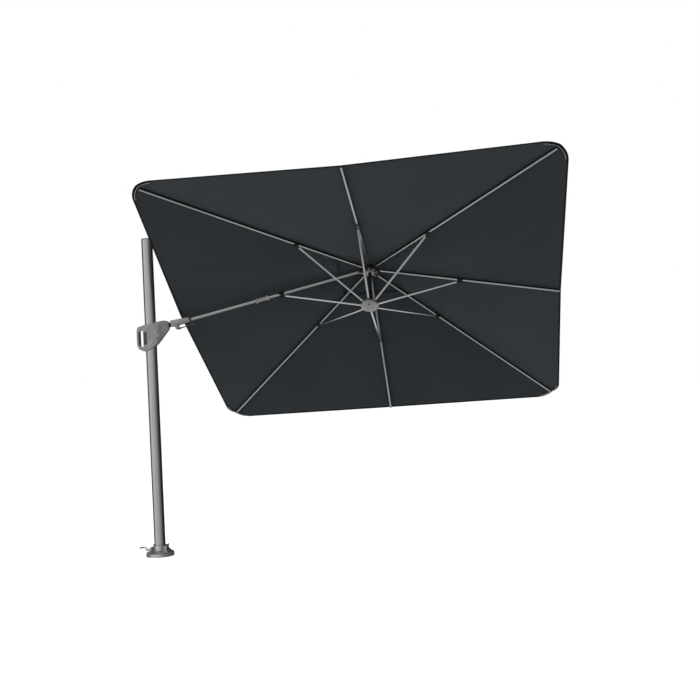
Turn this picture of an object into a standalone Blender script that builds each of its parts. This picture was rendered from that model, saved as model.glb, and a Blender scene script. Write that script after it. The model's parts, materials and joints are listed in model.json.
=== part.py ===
"""Square cantilever parasol: rotating mast, sliding handle, lifting and rolling arm, folding canopy.

Units are metres.  The mast axis is Z, the base stands on z = 0 and the arm points along +X.
The rest pose has the canopy open, the arm raised and the canopy rolled about the arm.
"""
from math import atan2, cos, pi, radians, sin, sqrt, tan

import bmesh
import bpy
from mathutils import Matrix, Vector

# ---- driving dimensions ---------------------------------------------------------------------
GAP = 0.0003                    # between pieces that touch
RUNNING_GAP = 0.0012            # between pieces that slide past each other

CANOPY_HALF = 1.5               # half the side of the square canopy
CORNER_RADIUS = 0.18            # rounded corners of the canopy
CORNER_DROP = 0.364             # canopy corners below the crown
MID_TIP_INSET = 0.02            # mid-side tips sit a little inside the straight side
MAST_SIDE_OVERHANG = 0.049      # the mast side bows out over the arm head
MAST_SIDE_DROP = 0.335          # its middle below the crown
CANOPY_HOLE = 0.080             # radius left free for the crown hub
CANOPY_LIFT = 0.0115            # canopy underside above the rib's centre line
ARM_RIDGE = 0.010               # extra lift where the canopy passes over the arm
CLOTH = 0.0015

ARM_LIFT = radians(13.0)        # arm above the horizontal at rest
ARM_ROLL = radians(-36.1)       # canopy rolled about the arm at rest
RIB_SLOPE = radians(14.5)       # arm and mid ribs below the canopy's own plane
FOLD = radians(72.0)            # how far arm and ribs fold

HINGE_X = 0.112                 # lift hinge, from the mast axis
HINGE_Z = 1.8345
ARM_REACH = 0.2238              # arm from the lift hinge to below the canopy's mast side
ARM_LENGTH = CANOPY_HALF + ARM_REACH    # lift hinge to the crown, along the arm
ARM_RADIUS = 0.0135
ARM_LINK_DROP = 0.022           # hub pivot and strut pivot below the arm's centre line

PIVOT_RADIUS = 0.045            # rib pivots on the crown hub, strut pivots on the runner
PIVOT_DROP = 0.0282             # rib pivots below the crown point
LINK = 0.69                     # rib pivot to strut pivot, and strut length
LINK_DROP = 0.016               # both pivots below the rib's centre line
RIB_WIDTH = 0.016
RIB_HEIGHT = 0.018
RIB_END = 0.030                 # blade length before the rib's tube starts
BLADE = 0.005
EYE_RADIUS = 0.006
PIN_RADIUS = 0.0025
STRUT_RADIUS = 0.007
STRUT_END = 0.034
CHEEK = 0.003
HUB_RADIUS = 0.062
HUB_TOP = 0.0035
HUB_BOTTOM = -0.042
RUNNER_RADIUS = 0.0695
RUNNER_FLOOR = 0.0105           # runner's underside below its strut pivots
RUNNER_LIP = 0.008              # its rim above them
POLE_RADIUS = 0.015
SLOT_SIDE_GAP = 0.0012          # each side of a blade in its slot
SLOT_TOP_GAP = 0.0004           # above the flattest rib's blade where it leaves the hub
BLADE_KNEE = (0.003, 0.0065)    # a rib blade's upper edge rises from here to the tube
BLADE_SHOULDER = 0.002          # and meets it this far below the tube's upper side

MAST_HALF_X = 0.044
MAST_HALF_Y = 0.036
MAST_WALL = 0.003
MAST_TOP = 2.540
CAP_HEIGHT = 0.0125
COLLAR_TOP = 0.085
COLLAR_WALL = 0.008
FLANGE_RADIUS = 0.111
FLANGE_THICKNESS = 0.034
SPIGOT_RADIUS = 0.026
SPIGOT_TOP = 0.42
PEDAL_X = -0.078
PEDAL_Z = 0.052

HANDLE_DEPTH = 0.050            # half depth of the casting round the mast
LOOP_DEPTH = 0.017              # half depth of the grip loop
HANDLE_HOLE = (-0.083, -0.054, -0.1595, -0.0235)    # grip hole: x from the mast, z from the hinge
TONGUE = 0.024
HEAD_START = 0.054
HEAD_END = 0.212
HEAD_TOP = 0.0315
HEAD_NOSE = 0.0168
HEAD_DEPTH = 0.026
LEVER_X = 0.098
LEVER_Z = -0.045
GRIP_AT = 0.82                  # spool grip along the arm
GRIP_LENGTH = 0.105

SIDES = 16                      # facets on small round pieces

# rib names by azimuth round the crown: outer is away from the mast, left is +Y
SECTORS = {0: "outer", 45: "outer_left", 90: "left", 135: "inner_left",
           180: "inner", 225: "inner_right", 270: "right", 315: "outer_right"}


# ---- scene and materials ----------------------------------------------------------------------
for old in list(bpy.data.objects):
    bpy.data.objects.remove(old, do_unlink=True)


def material(name, colour, roughness, metallic):
    mat = bpy.data.materials.new(name)
    mat.use_nodes = True
    shader = mat.node_tree.nodes["Principled BSDF"]
    shader.inputs["Base Color"].default_value = (*colour, 1.0)
    shader.inputs["Roughness"].default_value = roughness
    shader.inputs["Metallic"].default_value = metallic
    return mat


ANODISED = material("anodised_grey", (0.36, 0.36, 0.37), 0.42, 0.9)
SILVER = material("silver_tube", (0.46, 0.46, 0.47), 0.38, 0.9)
CAST = material("cast_grey", (0.27, 0.28, 0.28), 0.55, 0.6)
BLACK = material("black_plastic", (0.016, 0.017, 0.018), 0.5, 0.0)
STEEL = material("steel", (0.40, 0.40, 0.41), 0.3, 1.0)
CLOTH_SLATE = material("slate_cloth", (0.022, 0.027, 0.031), 0.9, 0.0)


# ---- shape helpers ------------------------------------------------------------------------------
def prism(points, low, high):
    """Closed solid: an outline of (x, z) points extruded along Y from low to high."""
    bm = bmesh.new()
    face = bm.faces.new([bm.verts.new((x, low, z)) for x, z in points])
    moved = bmesh.ops.extrude_face_region(bm, geom=[face])["geom"]
    verts = [v for v in moved if isinstance(v, bmesh.types.BMVert)]
    bmesh.ops.translate(bm, verts=verts, vec=(0.0, high - low, 0.0))
    bmesh.ops.recalc_face_normals(bm, faces=bm.faces)
    return bm


def box(low, high):
    x0, y0, z0 = low
    x1, y1, z1 = high
    return prism([(x0, z0), (x1, z0), (x1, z1), (x0, z1)], y0, y1)


def turned(profile, segments=32):
    """Closed solid of revolution about Z: (radius, z) points that start and end on the axis."""
    bm = bmesh.new()
    verts = [bm.verts.new((r, 0.0, z)) for r, z in profile]
    edges = [bm.edges.new(pair) for pair in zip(verts, verts[1:])]
    bmesh.ops.spin(bm, geom=verts + edges, axis=(0, 0, 1), cent=(0, 0, 0), angle=2 * pi,
                   steps=segments, use_merge=True)
    bmesh.ops.remove_doubles(bm, verts=bm.verts, dist=1e-5)
    bmesh.ops.recalc_face_normals(bm, faces=bm.faces)
    return bm


def rod(start, end, radius, segments=SIDES):
    """Round bar between two points."""
    start, end = Vector(start), Vector(end)
    along = end - start
    bm = bmesh.new()
    turn = along.to_track_quat("Z", "Y").to_matrix().to_4x4()
    bmesh.ops.create_cone(bm, cap_ends=True, segments=segments, radius1=radius, radius2=radius,
                          depth=along.length, matrix=Matrix.Translation((start + end) / 2) @ turn)
    return bm


def oval(half_x, half_y, count=40, power=2.6):
    """Superellipse outline of the mast extrusion."""
    points = []
    for i in range(count):
        a = 2 * pi * i / count
        x = abs(cos(a)) ** (2 / power) * (1 if cos(a) >= 0 else -1)
        y = abs(sin(a)) ** (2 / power) * (1 if sin(a) >= 0 else -1)
        points.append((half_x * x, half_y * y))
    return points


def column(outline, low, high):
    """Closed solid: an outline of (x, y) points extruded along Z."""
    bm = bmesh.new()
    face = bm.faces.new([bm.verts.new((x, y, low)) for x, y in outline])
    moved = bmesh.ops.extrude_face_region(bm, geom=[face])["geom"]
    verts = [v for v in moved if isinstance(v, bmesh.types.BMVert)]
    bmesh.ops.translate(bm, verts=verts, vec=(0.0, 0.0, high - low))
    bmesh.ops.recalc_face_normals(bm, faces=bm.faces)
    return bm


def as_object(bm, name):
    mesh = bpy.data.meshes.new(name)
    bm.to_mesh(mesh)
    bm.free()
    obj = bpy.data.objects.new(name, mesh)
    bpy.context.scene.collection.objects.link(obj)
    return obj


def combine(base, others, operation):
    """Boolean of bmesh solids, worked out at once and returned as a bmesh."""
    target = as_object(base, "boolean_base")
    tools = [as_object(other, "boolean_tool") for other in others]
    for tool in tools:
        step = target.modifiers.new("step", "BOOLEAN")
        step.operation = operation
        step.solver = "EXACT"
        step.object = tool
    evaluated = target.evaluated_get(bpy.context.evaluated_depsgraph_get())
    result = bmesh.new()
    result.from_mesh(evaluated.to_mesh())
    evaluated.to_mesh_clear()
    for obj in [target, *tools]:
        mesh = obj.data
        bpy.data.objects.remove(obj, do_unlink=True)
        bpy.data.meshes.remove(mesh)
    bmesh.ops.remove_doubles(result, verts=result.verts, dist=1e-6)
    return result


def union(base, *others):
    return combine(base, others, "UNION")


def cut(base, *others):
    return combine(base, others, "DIFFERENCE")


def empty(name, parent, local):
    """Joint frame: an empty whose local Y is the joint's axis."""
    obj = bpy.data.objects.new(name, None)
    bpy.context.scene.collection.objects.link(obj)
    obj.empty_display_size = 0.05
    obj.parent = parent
    obj.matrix_local = local
    bpy.context.view_layer.update()
    return obj


def piece(name, bm, mat, parent, local=None, sharp=30.0):
    """Finished sub-part, placed in its parent's frame."""
    obj = as_object(bm, name)
    obj.data.materials.append(mat)
    obj.data.shade_smooth()
    obj.data.set_sharp_from_angle(angle=radians(sharp))
    obj.parent = parent
    obj.matrix_local = local or Matrix.Identity(4)
    return obj


def shift(x=0.0, y=0.0, z=0.0):
    return Matrix.Translation((x, y, z))


def turn(angle, axis):
    return Matrix.Rotation(angle, 4, axis)


# ---- fold geometry ------------------------------------------------------------------------------
# Mid ribs and arm: link and strut are equal and their end pivots sit at one radius, so the
# runner moves exactly along the pole.  Corner ribs: the link is chosen so that the strut
# meets the runner both when open and when folded.
OPEN_DEPTH = 2 * LINK * sin(RIB_SLOPE)
FOLDED_DEPTH = 2 * LINK * sin(RIB_SLOPE + FOLD)
FOLDED_SLOPE = RIB_SLOPE + FOLD
RUNNER_PIVOT_Z = -(PIVOT_DROP + OPEN_DEPTH)


def corner_slope():
    """Slope of a corner rib whose centre line passes through the corner's tip."""
    reach = sqrt(2) * CANOPY_HALF - PIVOT_RADIUS
    fall = CORNER_DROP - PIVOT_DROP
    return atan2(fall, reach) + LINK_DROP / sqrt(reach ** 2 + fall ** 2)


CORNER_SLOPE = corner_slope()
CORNER_LINK = ((FOLDED_DEPTH ** 2 - OPEN_DEPTH ** 2)
               / (2 * (FOLDED_DEPTH * sin(FOLDED_SLOPE) - OPEN_DEPTH * sin(CORNER_SLOPE))))
CORNER_STRUT = sqrt((CORNER_LINK * cos(CORNER_SLOPE)) ** 2
                    + (OPEN_DEPTH - CORNER_LINK * sin(CORNER_SLOPE)) ** 2)


def strut_slope(slope, link, depth):
    """Slope of a strut between a rib pivot and the runner at the given depth."""
    return atan2(depth - link * sin(slope), link * cos(slope))


def is_corner(azimuth):
    return azimuth % 90 != 0


def rib_tip(azimuth):
    """Radius of the rib's tip, measured from the pole."""
    if is_corner(azimuth):
        return sqrt(2) * CANOPY_HALF - CORNER_RADIUS * (sqrt(2) - 1) - 0.034
    return CANOPY_HALF - MID_TIP_INSET - 0.012


# ---- joint frames ---------------------------------------------------------------------------------
mast_turn = empty("mast_turn", None, Matrix.Identity(4))
pedal_hinge = empty("pedal_hinge", None, shift(PEDAL_X, 0, PEDAL_Z))
handle_slide = empty("handle_slide", mast_turn, shift(0, 0, HINGE_Z))
arm_lift = empty("arm_lift", handle_slide, shift(HINGE_X) @ turn(-ARM_LIFT, "Y"))
lever_hinge = empty("lever_hinge", arm_lift, shift(LEVER_X, 0, LEVER_Z))
arm_roll = empty("arm_roll", arm_lift, turn(ARM_ROLL, "X"))

pivot_back = PIVOT_RADIUS * cos(RIB_SLOPE) + PIVOT_DROP * sin(RIB_SLOPE)
hub_fold = empty("hub_fold", arm_roll,
                 shift(ARM_LENGTH - pivot_back, 0, -ARM_LINK_DROP) @ turn(RIB_SLOPE, "Y"))
crown = empty("crown", hub_fold, shift(PIVOT_RADIUS, 0, PIVOT_DROP))

rib_frames = {}
strut_frames = {}
for azimuth, side in SECTORS.items():
    slope = CORNER_SLOPE if is_corner(azimuth) else RIB_SLOPE
    link = CORNER_LINK if is_corner(azimuth) else LINK
    if side == "inner":
        frame = empty("arm_link", arm_roll,
                      shift(ARM_LENGTH - pivot_back, 0, -ARM_LINK_DROP) @ turn(pi, "Z"))
    else:
        frame = empty("rib_hinge_" + side, crown, turn(radians(azimuth), "Z")
                      @ shift(PIVOT_RADIUS, 0, -PIVOT_DROP) @ turn(slope, "Y"))
    rib_frames[azimuth] = frame
    swing = pi - strut_slope(slope, link, OPEN_DEPTH) - slope
    strut_frames[azimuth] = empty("strut_hinge_" + side, frame, shift(link) @ turn(swing, "Y"))

runner_fold = empty("runner_fold", strut_frames[180], shift(LINK))


# ---- base ---------------------------------------------------------------------------------------
def base_flange():
    inner = MAST_HALF_X + RUNNING_GAP
    outer = inner + COLLAR_WALL
    top = FLANGE_THICKNESS
    body = turned([(0, 0), (FLANGE_RADIUS, 0), (FLANGE_RADIUS, top - 0.008),
                   (FLANGE_RADIUS - 0.005, top - 0.002), (FLANGE_RADIUS - 0.012, top),
                   (outer + 0.010, top + 0.004), (outer + 0.002, top + 0.012),
                   (outer, COLLAR_TOP - 0.004), (outer - 0.002, COLLAR_TOP),
                   (inner, COLLAR_TOP), (inner, top + 0.008), (0, top + 0.008)], 48)
    fins = []
    for i in range(4):
        fin = prism([(outer - 0.003, top), (FLANGE_RADIUS - 0.005, top - 0.002),
                     (FLANGE_RADIUS - 0.010, top + 0.006), (outer + 0.034, top + 0.016),
                     (outer + 0.029, top + 0.030), (outer + 0.032, top + 0.042),
                     (outer + 0.037, top + 0.048), (outer + 0.032, top + 0.050),
                     (outer + 0.012, top + 0.046), (outer - 0.003, top + 0.047)], -0.004, 0.004)
        bmesh.ops.transform(fin, matrix=turn(pi / 4 + i * pi / 2, "Z"), verts=fin.verts)
        fins.append(fin)
    ears = [box((PEDAL_X - 0.010, side * 0.013 - 0.003, top - 0.004),
                (PEDAL_X + 0.010, side * 0.013 + 0.003, PEDAL_Z + 0.009)) for side in (-1, 1)]
    pin_hole = rod((PEDAL_X, -0.03, PEDAL_Z), (PEDAL_X, 0.03, PEDAL_Z), 0.004 + GAP)
    recess = box((-FLANGE_RADIUS - 0.02, -0.0095, top - 0.010), (PEDAL_X + 0.014, 0.0095, top + 0.02))
    return cut(union(body, *fins, *ears), pin_hole, recess)


def foot_pedal():
    outline = [(0.010, -0.007), (0.010, 0.005), (0.002, 0.009), (-0.014, 0.006), (-0.024, 0.004),
               (-0.029, 0.008), (-0.033, 0.018), (-0.040, 0.0215), (-0.083, 0.0185),
               (-0.083, 0.013), (-0.044, 0.015), (-0.040, 0.010), (-0.037, -0.004),
               (-0.030, -0.0105), (-0.022, -0.012), (-0.008, -0.009)]
    lever = prism(outline, -0.0085, 0.0085)
    plate = prism([(-0.0845, 0.0125), (-0.052, 0.0145), (-0.052, 0.0205), (-0.0845, 0.0190)],
                  -0.026, 0.026)
    return cut(union(lever, plate), rod((0, -0.03, 0), (0, 0.03, 0), 0.004 + GAP))


FLOOR_OF_COLLAR = FLANGE_THICKNESS + 0.008
piece("base_flange", base_flange(), STEEL, None)
piece("pedal_pin", rod((PEDAL_X, -0.0175, PEDAL_Z), (PEDAL_X, 0.0175, PEDAL_Z), 0.004), STEEL, None)
piece("foot_pedal", foot_pedal(), STEEL, pedal_hinge)
piece("pivot_spigot", rod((0, 0, FLOOR_OF_COLLAR + GAP), (0, 0, SPIGOT_TOP), SPIGOT_RADIUS, 32),
      STEEL, None)


# ---- mast ---------------------------------------------------------------------------------------
def shell(half_x, half_y, wall, low, high):
    """Oval tube, open at both ends."""
    return cut(column(oval(half_x, half_y), low, high),
               column(oval(half_x - wall, half_y - wall), low - 0.01, high + 0.01))


def mast_bush(low, high):
    inner_x = MAST_HALF_X - MAST_WALL - GAP
    inner_y = MAST_HALF_Y - MAST_WALL - GAP
    return cut(column(oval(inner_x, inner_y), low, high),
               rod((0, 0, low - 0.01), (0, 0, high + 0.01), SPIGOT_RADIUS + GAP, 32))


def mast_cap():
    plug = column(oval(MAST_HALF_X - MAST_WALL - GAP, MAST_HALF_Y - MAST_WALL - GAP),
                  MAST_TOP - 0.030, MAST_TOP + 0.004)
    rim = column(oval(MAST_HALF_X, MAST_HALF_Y), MAST_TOP + GAP, MAST_TOP + 0.007)
    dome = column(oval(MAST_HALF_X - 0.004, MAST_HALF_Y - 0.004), MAST_TOP + 0.006,
                  MAST_TOP + CAP_HEIGHT)
    return union(plug, rim, dome)


MAST_FOOT = FLOOR_OF_COLLAR + RUNNING_GAP
piece("mast", shell(MAST_HALF_X, MAST_HALF_Y, MAST_WALL, MAST_FOOT, MAST_TOP), ANODISED, mast_turn)
piece("mast_cap", mast_cap(), CAST, mast_turn)
piece("lower_bush", mast_bush(MAST_FOOT, MAST_FOOT + 0.05), BLACK, mast_turn)
piece("upper_bush", mast_bush(SPIGOT_TOP - 0.07, SPIGOT_TOP - 0.02), BLACK, mast_turn)


# ---- handle -------------------------------------------------------------------------------------
LINER = 0.003
PASSAGE_X = MAST_HALF_X + GAP + LINER + GAP
PASSAGE_Y = MAST_HALF_Y + GAP + LINER + GAP
LINER_SPANS = {"slider_liner_lower": (-0.1415, -0.1115), "slider_liner_upper": (-0.0165, 0.0135)}
RELEASE_BAR = (-0.050, -0.026, -0.1415, -0.0395)    # low x, high x, low z, high z from the hinge
HANDLE_LOW, HANDLE_HIGH = -0.24, 0.17      # span of the cuts through the casting, from the hinge
TAPER_START = 0.056                         # where the casting starts to narrow towards its nose
TAPER = radians(13.0)


def handle_casting():
    nose = HINGE_X + 0.0385
    outline = [(-0.111, -0.1315), (-0.111, -0.0295), (-0.105, -0.0025), (-0.088, 0.0075),
               (-0.060, 0.0125), (nose - 0.0425, 0.0460), (nose - 0.0165, 0.0430),
               (nose - 0.0035, 0.0305), (nose, 0.0135), (nose, -0.0165), (nose - 0.0045, -0.0295),
               (0.057, -0.1355), (0.020, -0.1695), (-0.020, -0.1915), (-0.060, -0.1935),
               (-0.095, -0.1765), (-0.107, -0.1565)]
    body = prism(outline, -HANDLE_DEPTH, HANDLE_DEPTH)
    edges = [e for e in body.edges if abs(e.verts[0].co.y - e.verts[1].co.y) < 1e-6]
    bmesh.ops.bevel(body, geom=edges, offset=0.006, segments=2, profile=0.5, affect="EDGES",
                    material=-1)
    low_x, high_x, low_z, high_z = HANDLE_HOLE
    bottom, top = HANDLE_LOW, HANDLE_HIGH
    tools = [column(oval(PASSAGE_X, PASSAGE_Y), bottom, top)]
    hole = prism([(low_x + 0.010, low_z), (high_x - 0.010, low_z), (high_x, low_z + 0.010),
                  (high_x, high_z - 0.010), (high_x - 0.008, high_z), (low_x + 0.012, high_z),
                  (low_x, high_z - 0.012), (low_x, low_z + 0.012)], -0.08, 0.08)
    tools.append(hole)
    for side in (-1, 1):
        near, far = sorted((side * LOOP_DEPTH, side * 0.08))
        tools.append(prism([(-0.20, bottom), (-0.070, bottom), (-0.0535, -0.170), (-0.0535, -0.020),
                            (-0.075, top), (-0.20, top)], near, far))
        near, far = sorted((0, side * 0.08))
        flank = box((0, near, bottom), (0.3, far, top))
        bmesh.ops.transform(flank, matrix=shift(TAPER_START, side * HANDLE_DEPTH)
                            @ turn(-side * TAPER, "Z"), verts=flank.verts)
        tools.append(flank)
    slot = TONGUE / 2 + RUNNING_GAP
    tools.append(box((HINGE_X - 0.025, -slot, -0.025), (0.3, slot, top)))
    tools.append(rod((HINGE_X, -0.08, 0), (HINGE_X, 0.08, 0), 0.007 + GAP))
    x0, x1, z0, z1 = RELEASE_BAR
    tools.append(box((x0 - GAP, -0.08, z0 - GAP), (x1 + GAP, -HANDLE_DEPTH + 0.0055, z1 + GAP)))
    return cut(body, *tools)


def slider_liner(low, high):
    return cut(column(oval(PASSAGE_X - GAP, PASSAGE_Y - GAP), low, high),
               column(oval(MAST_HALF_X + GAP, MAST_HALF_Y + GAP), low - 0.01, high + 0.01))


piece("handle_casting", handle_casting(), CAST, handle_slide)
for liner, (low, high) in LINER_SPANS.items():
    piece(liner, slider_liner(low, high), BLACK, handle_slide)
piece("release_bar", box((RELEASE_BAR[0], -HANDLE_DEPTH - 0.0035, RELEASE_BAR[2]),
                         (RELEASE_BAR[1], -HANDLE_DEPTH + 0.0015, RELEASE_BAR[3])), CAST, handle_slide)
piece("lift_pin", rod((HINGE_X, -0.0335, 0), (HINGE_X, 0.0335, 0), 0.007), STEEL, handle_slide)


# ---- arm head and arm -----------------------------------------------------------------------------
def arm_head():
    outline = [(0.0, -0.018), (0.0, 0.018), (HEAD_START + 0.02, 0.016), (HEAD_START + 0.02, -0.016)]
    tongue = union(prism(outline, -TONGUE / 2, TONGUE / 2),
                   rod((0, -TONGUE / 2, 0), (0, TONGUE / 2, 0), 0.018, 24))
    block = prism([(HEAD_START, -0.014), (HEAD_START, 0.026), (HEAD_START + 0.008, HEAD_TOP),
                   (HEAD_START + 0.070, HEAD_TOP - 0.005), (HEAD_END - 0.006, HEAD_NOSE + 0.002),
                   (HEAD_END, HEAD_NOSE), (HEAD_END, -HEAD_NOSE), (HEAD_END - 0.006, -HEAD_NOSE - 0.002),
                   (LEVER_X + 0.018, -0.023), (LEVER_X + 0.009, LEVER_Z - 0.006),
                   (LEVER_X - 0.009, LEVER_Z - 0.006), (LEVER_X - 0.018, -0.024),
                   (HEAD_START + 0.008, -0.020)], -HEAD_DEPTH, HEAD_DEPTH)
    edges = [e for e in block.edges if abs(e.verts[0].co.y - e.verts[1].co.y) < 1e-6]
    bmesh.ops.bevel(block, geom=edges, offset=0.005, segments=2, profile=0.5, affect="EDGES",
                    material=-1)
    bore = rod((HEAD_START + 0.030, 0, 0), (HEAD_END + 0.02, 0, 0), ARM_RADIUS + GAP, 24)
    pin_hole = rod((0, -0.05, 0), (0, 0.05, 0), 0.007 + GAP)
    fork = box((LEVER_X - 0.015, -0.0098, LEVER_Z - 0.02), (LEVER_X + 0.040, 0.0098, -0.026))
    lever_hole = rod((LEVER_X, -0.05, LEVER_Z), (LEVER_X, 0.05, LEVER_Z), 0.003 + GAP)
    return cut(union(tongue, block), bore, pin_hole, fork, lever_hole)


def tilt_lever():
    outline = [(-0.008, -0.004), (-0.006, 0.005), (0.006, 0.0055), (0.020, 0.0030), (0.050, 0.0015),
               (0.090, 0.0040), (0.130, 0.0020), (0.146, -0.0010), (0.149, -0.0035),
               (0.144, -0.0050), (0.120, -0.0040), (0.085, -0.0025), (0.050, -0.0055),
               (0.025, -0.0085), (0.004, -0.0100), (-0.006, -0.0085)]
    return cut(prism(outline, -0.0085, 0.0085), rod((0, -0.03, 0), (0, 0.03, 0), 0.003 + GAP, 12))


def arm_tube():
    tube = rod((HEAD_START + 0.032, 0, 0), (ARM_LENGTH - pivot_back - 0.045, 0, 0), ARM_RADIUS, 24)
    end = ARM_LENGTH - pivot_back
    drop = -ARM_LINK_DROP
    blade = prism([(end - 0.060, 0.006), (end - 0.060, -0.012), (end - 0.010, drop - EYE_RADIUS),
                   (end, drop - EYE_RADIUS), (end + EYE_RADIUS, drop), (end + 0.003, drop + 0.0065),
                   (end - 0.012, drop + 0.0085), (end - 0.036, 0.0)], -BLADE / 2, BLADE / 2)
    hole = rod((end, -0.03, drop), (end, 0.03, drop), PIN_RADIUS + GAP, 12)
    return cut(union(tube, blade), hole)


def arm_grip():
    half = GRIP_LENGTH / 2
    profile = [(0, -half), (0.024, -half), (0.025, -half + 0.008), (0.0195, -half + 0.016),
               (0.0185, 0), (0.0195, half - 0.016), (0.025, half - 0.008), (0.024, half), (0, half)]
    grip = turned(profile, 24)
    bmesh.ops.transform(grip, matrix=shift(GRIP_AT) @ turn(pi / 2, "Y"), verts=grip.verts)
    return cut(grip, rod((GRIP_AT - 0.1, 0, 0), (GRIP_AT + 0.1, 0, 0), ARM_RADIUS + GAP, 24))


def bracket(top, inner_half):
    """Two cheeks joined by the strut's pin; local frame as the link's, pin at the origin."""
    outline = [(-0.030, top), (-0.026, top - 0.010), (-0.008, -0.007), (0.008, -0.007),
               (0.034, top - 0.010), (0.038, top)]
    cheeks = [prism(outline, *sorted((side * inner_half, side * (inner_half + CHEEK))))
              for side in (-1, 1)]
    reach = inner_half + CHEEK
    return union(cheeks[0], cheeks[1], rod((0, -reach + 0.001, 0), (0, reach - 0.001, 0), PIN_RADIUS, 12))


piece("arm_head", arm_head(), CAST, arm_lift)
piece("lever_pin", rod((LEVER_X, -0.022, LEVER_Z), (LEVER_X, 0.022, LEVER_Z), 0.003), STEEL, arm_lift)
piece("tilt_lever", tilt_lever(), CAST, lever_hinge)
piece("arm_tube", arm_tube(), SILVER, arm_roll)
piece("arm_grip", arm_grip(), CAST, arm_roll)
piece("strut_lug", bracket(ARM_LINK_DROP + 0.006, ARM_RADIUS + GAP), BLACK, rib_frames[180], shift(LINK))


# ---- crown hub, pole and runner -------------------------------------------------------------------
def radial_slots(low, high, inner):
    width = BLADE / 2 + SLOT_SIDE_GAP
    slots = []
    for azimuth in SECTORS:
        slot = box((inner, -width, low), (0.12, width, high))
        bmesh.ops.transform(slot, matrix=turn(radians(azimuth), "Z"), verts=slot.verts)
        slots.append(slot)
    return slots


def pivot_pins(azimuths, height):
    pins = []
    for azimuth in azimuths:
        pin = rod((PIVOT_RADIUS, -0.0065, height), (PIVOT_RADIUS, 0.0065, height), PIN_RADIUS, 12)
        bmesh.ops.transform(pin, matrix=turn(radians(azimuth), "Z"), verts=pin.verts)
        pins.append(pin)
    return pins


def slot_top(slope):
    """Height at which a blade's upper edge leaves the hub, with the gap above it."""
    x0, z0 = BLADE_KNEE
    run, rise = RIB_END - x0, LINK_DROP + RIB_HEIGHT / 2 - BLADE_SHOULDER - z0
    c, s = cos(slope), sin(slope)
    share = (HUB_RADIUS - PIVOT_RADIUS - x0 * c - z0 * s) / (run * c + rise * s)
    return -PIVOT_DROP + (z0 + rise * share) * c - (x0 + run * share) * s + SLOT_TOP_GAP


def crown_hub():
    disc = turned([(0, HUB_BOTTOM), (0.028, HUB_BOTTOM), (HUB_RADIUS - 0.004, HUB_BOTTOM + 0.006),
                   (HUB_RADIUS, HUB_BOTTOM + 0.010), (HUB_RADIUS, HUB_TOP - 0.018),
                   (0.030, HUB_TOP), (0, HUB_TOP)], 32)
    inner = PIVOT_RADIUS - EYE_RADIUS - 0.002
    slots = radial_slots(HUB_BOTTOM - 0.02, slot_top(min(CORNER_SLOPE, RIB_SLOPE)), inner)
    bore = rod((0, 0, HUB_BOTTOM - 0.01), (0, 0, HUB_BOTTOM + 0.030), POLE_RADIUS + GAP, 24)
    return union(cut(disc, *slots, bore), *pivot_pins(SECTORS, -PIVOT_DROP))


def runner():
    low = RUNNER_PIVOT_Z - RUNNER_FLOOR
    rim = RUNNER_PIVOT_Z + RUNNER_LIP
    disc = turned([(0, low), (RUNNER_RADIUS - 0.002, low), (RUNNER_RADIUS, low + 0.002),
                   (RUNNER_RADIUS, rim - 0.004), (RUNNER_RADIUS - 0.004, rim), (0.034, rim),
                   (0.026, rim + 0.028), (0, rim + 0.028)], 32)
    slots = radial_slots(RUNNER_PIVOT_Z - EYE_RADIUS - 0.001, rim + 0.1,
                         PIVOT_RADIUS - EYE_RADIUS - 0.002)
    bore = rod((0, 0, RUNNER_PIVOT_Z - 0.002), (0, 0, rim + 0.05), POLE_RADIUS + RUNNING_GAP, 24)
    exact = [azimuth for azimuth in SECTORS if not is_corner(azimuth)]
    return union(cut(disc, *slots, bore), *pivot_pins(exact, RUNNER_PIVOT_Z))


def runner_cap():
    top = RUNNER_PIVOT_Z - RUNNER_FLOOR - GAP
    return turned([(0, top), (RUNNER_RADIUS - 0.001, top), (RUNNER_RADIUS, top - 0.003),
                   (RUNNER_RADIUS - 0.010, top - 0.007), (0.035, top - 0.011), (0, top - 0.013)], 32)


def crown_cap():
    """Clamp plate and knob that hold the canopy's centre and the vent cloth."""
    low = HUB_TOP + GAP
    return turned([(0, low), (0.024, low), (0.024, 0.036), (0.052, 0.038), (0.054, 0.042),
                   (0.030, 0.050), (0.012, 0.056), (0, 0.057)], 32)


POLE_BOTTOM = RUNNER_PIVOT_Z
piece("crown_hub", crown_hub(), BLACK, crown)
piece("centre_pole", rod((0, 0, POLE_BOTTOM), (0, 0, HUB_BOTTOM + 0.029), POLE_RADIUS, 24), BLACK, crown)
piece("crown_cap", crown_cap(), BLACK, crown)
to_runner = runner_fold.matrix_world.inverted() @ crown.matrix_world
piece("runner", runner(), CAST, runner_fold, to_runner)
piece("runner_cap", runner_cap(), CAST, runner_fold, to_runner)


# ---- ribs and struts --------------------------------------------------------------------------------
def rib(slope, length):
    low = LINK_DROP - RIB_HEIGHT / 2
    high = LINK_DROP + RIB_HEIGHT / 2
    bar = box((RIB_END, -RIB_WIDTH / 2, low), (length, RIB_WIDTH / 2, high))
    blade = prism([(-EYE_RADIUS, 0), (-0.004, -0.0045), (0.003, -EYE_RADIUS), (RIB_END + 0.02, low + 0.001),
                   (RIB_END + 0.02, high - 0.001), (RIB_END, high - BLADE_SHOULDER), BLADE_KNEE,
                   (-0.004, 0.0045)], -BLADE / 2, BLADE / 2)
    return cut(union(bar, blade), rod((0, -0.03, 0), (0, 0.03, 0), PIN_RADIUS + GAP, 12))


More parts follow.
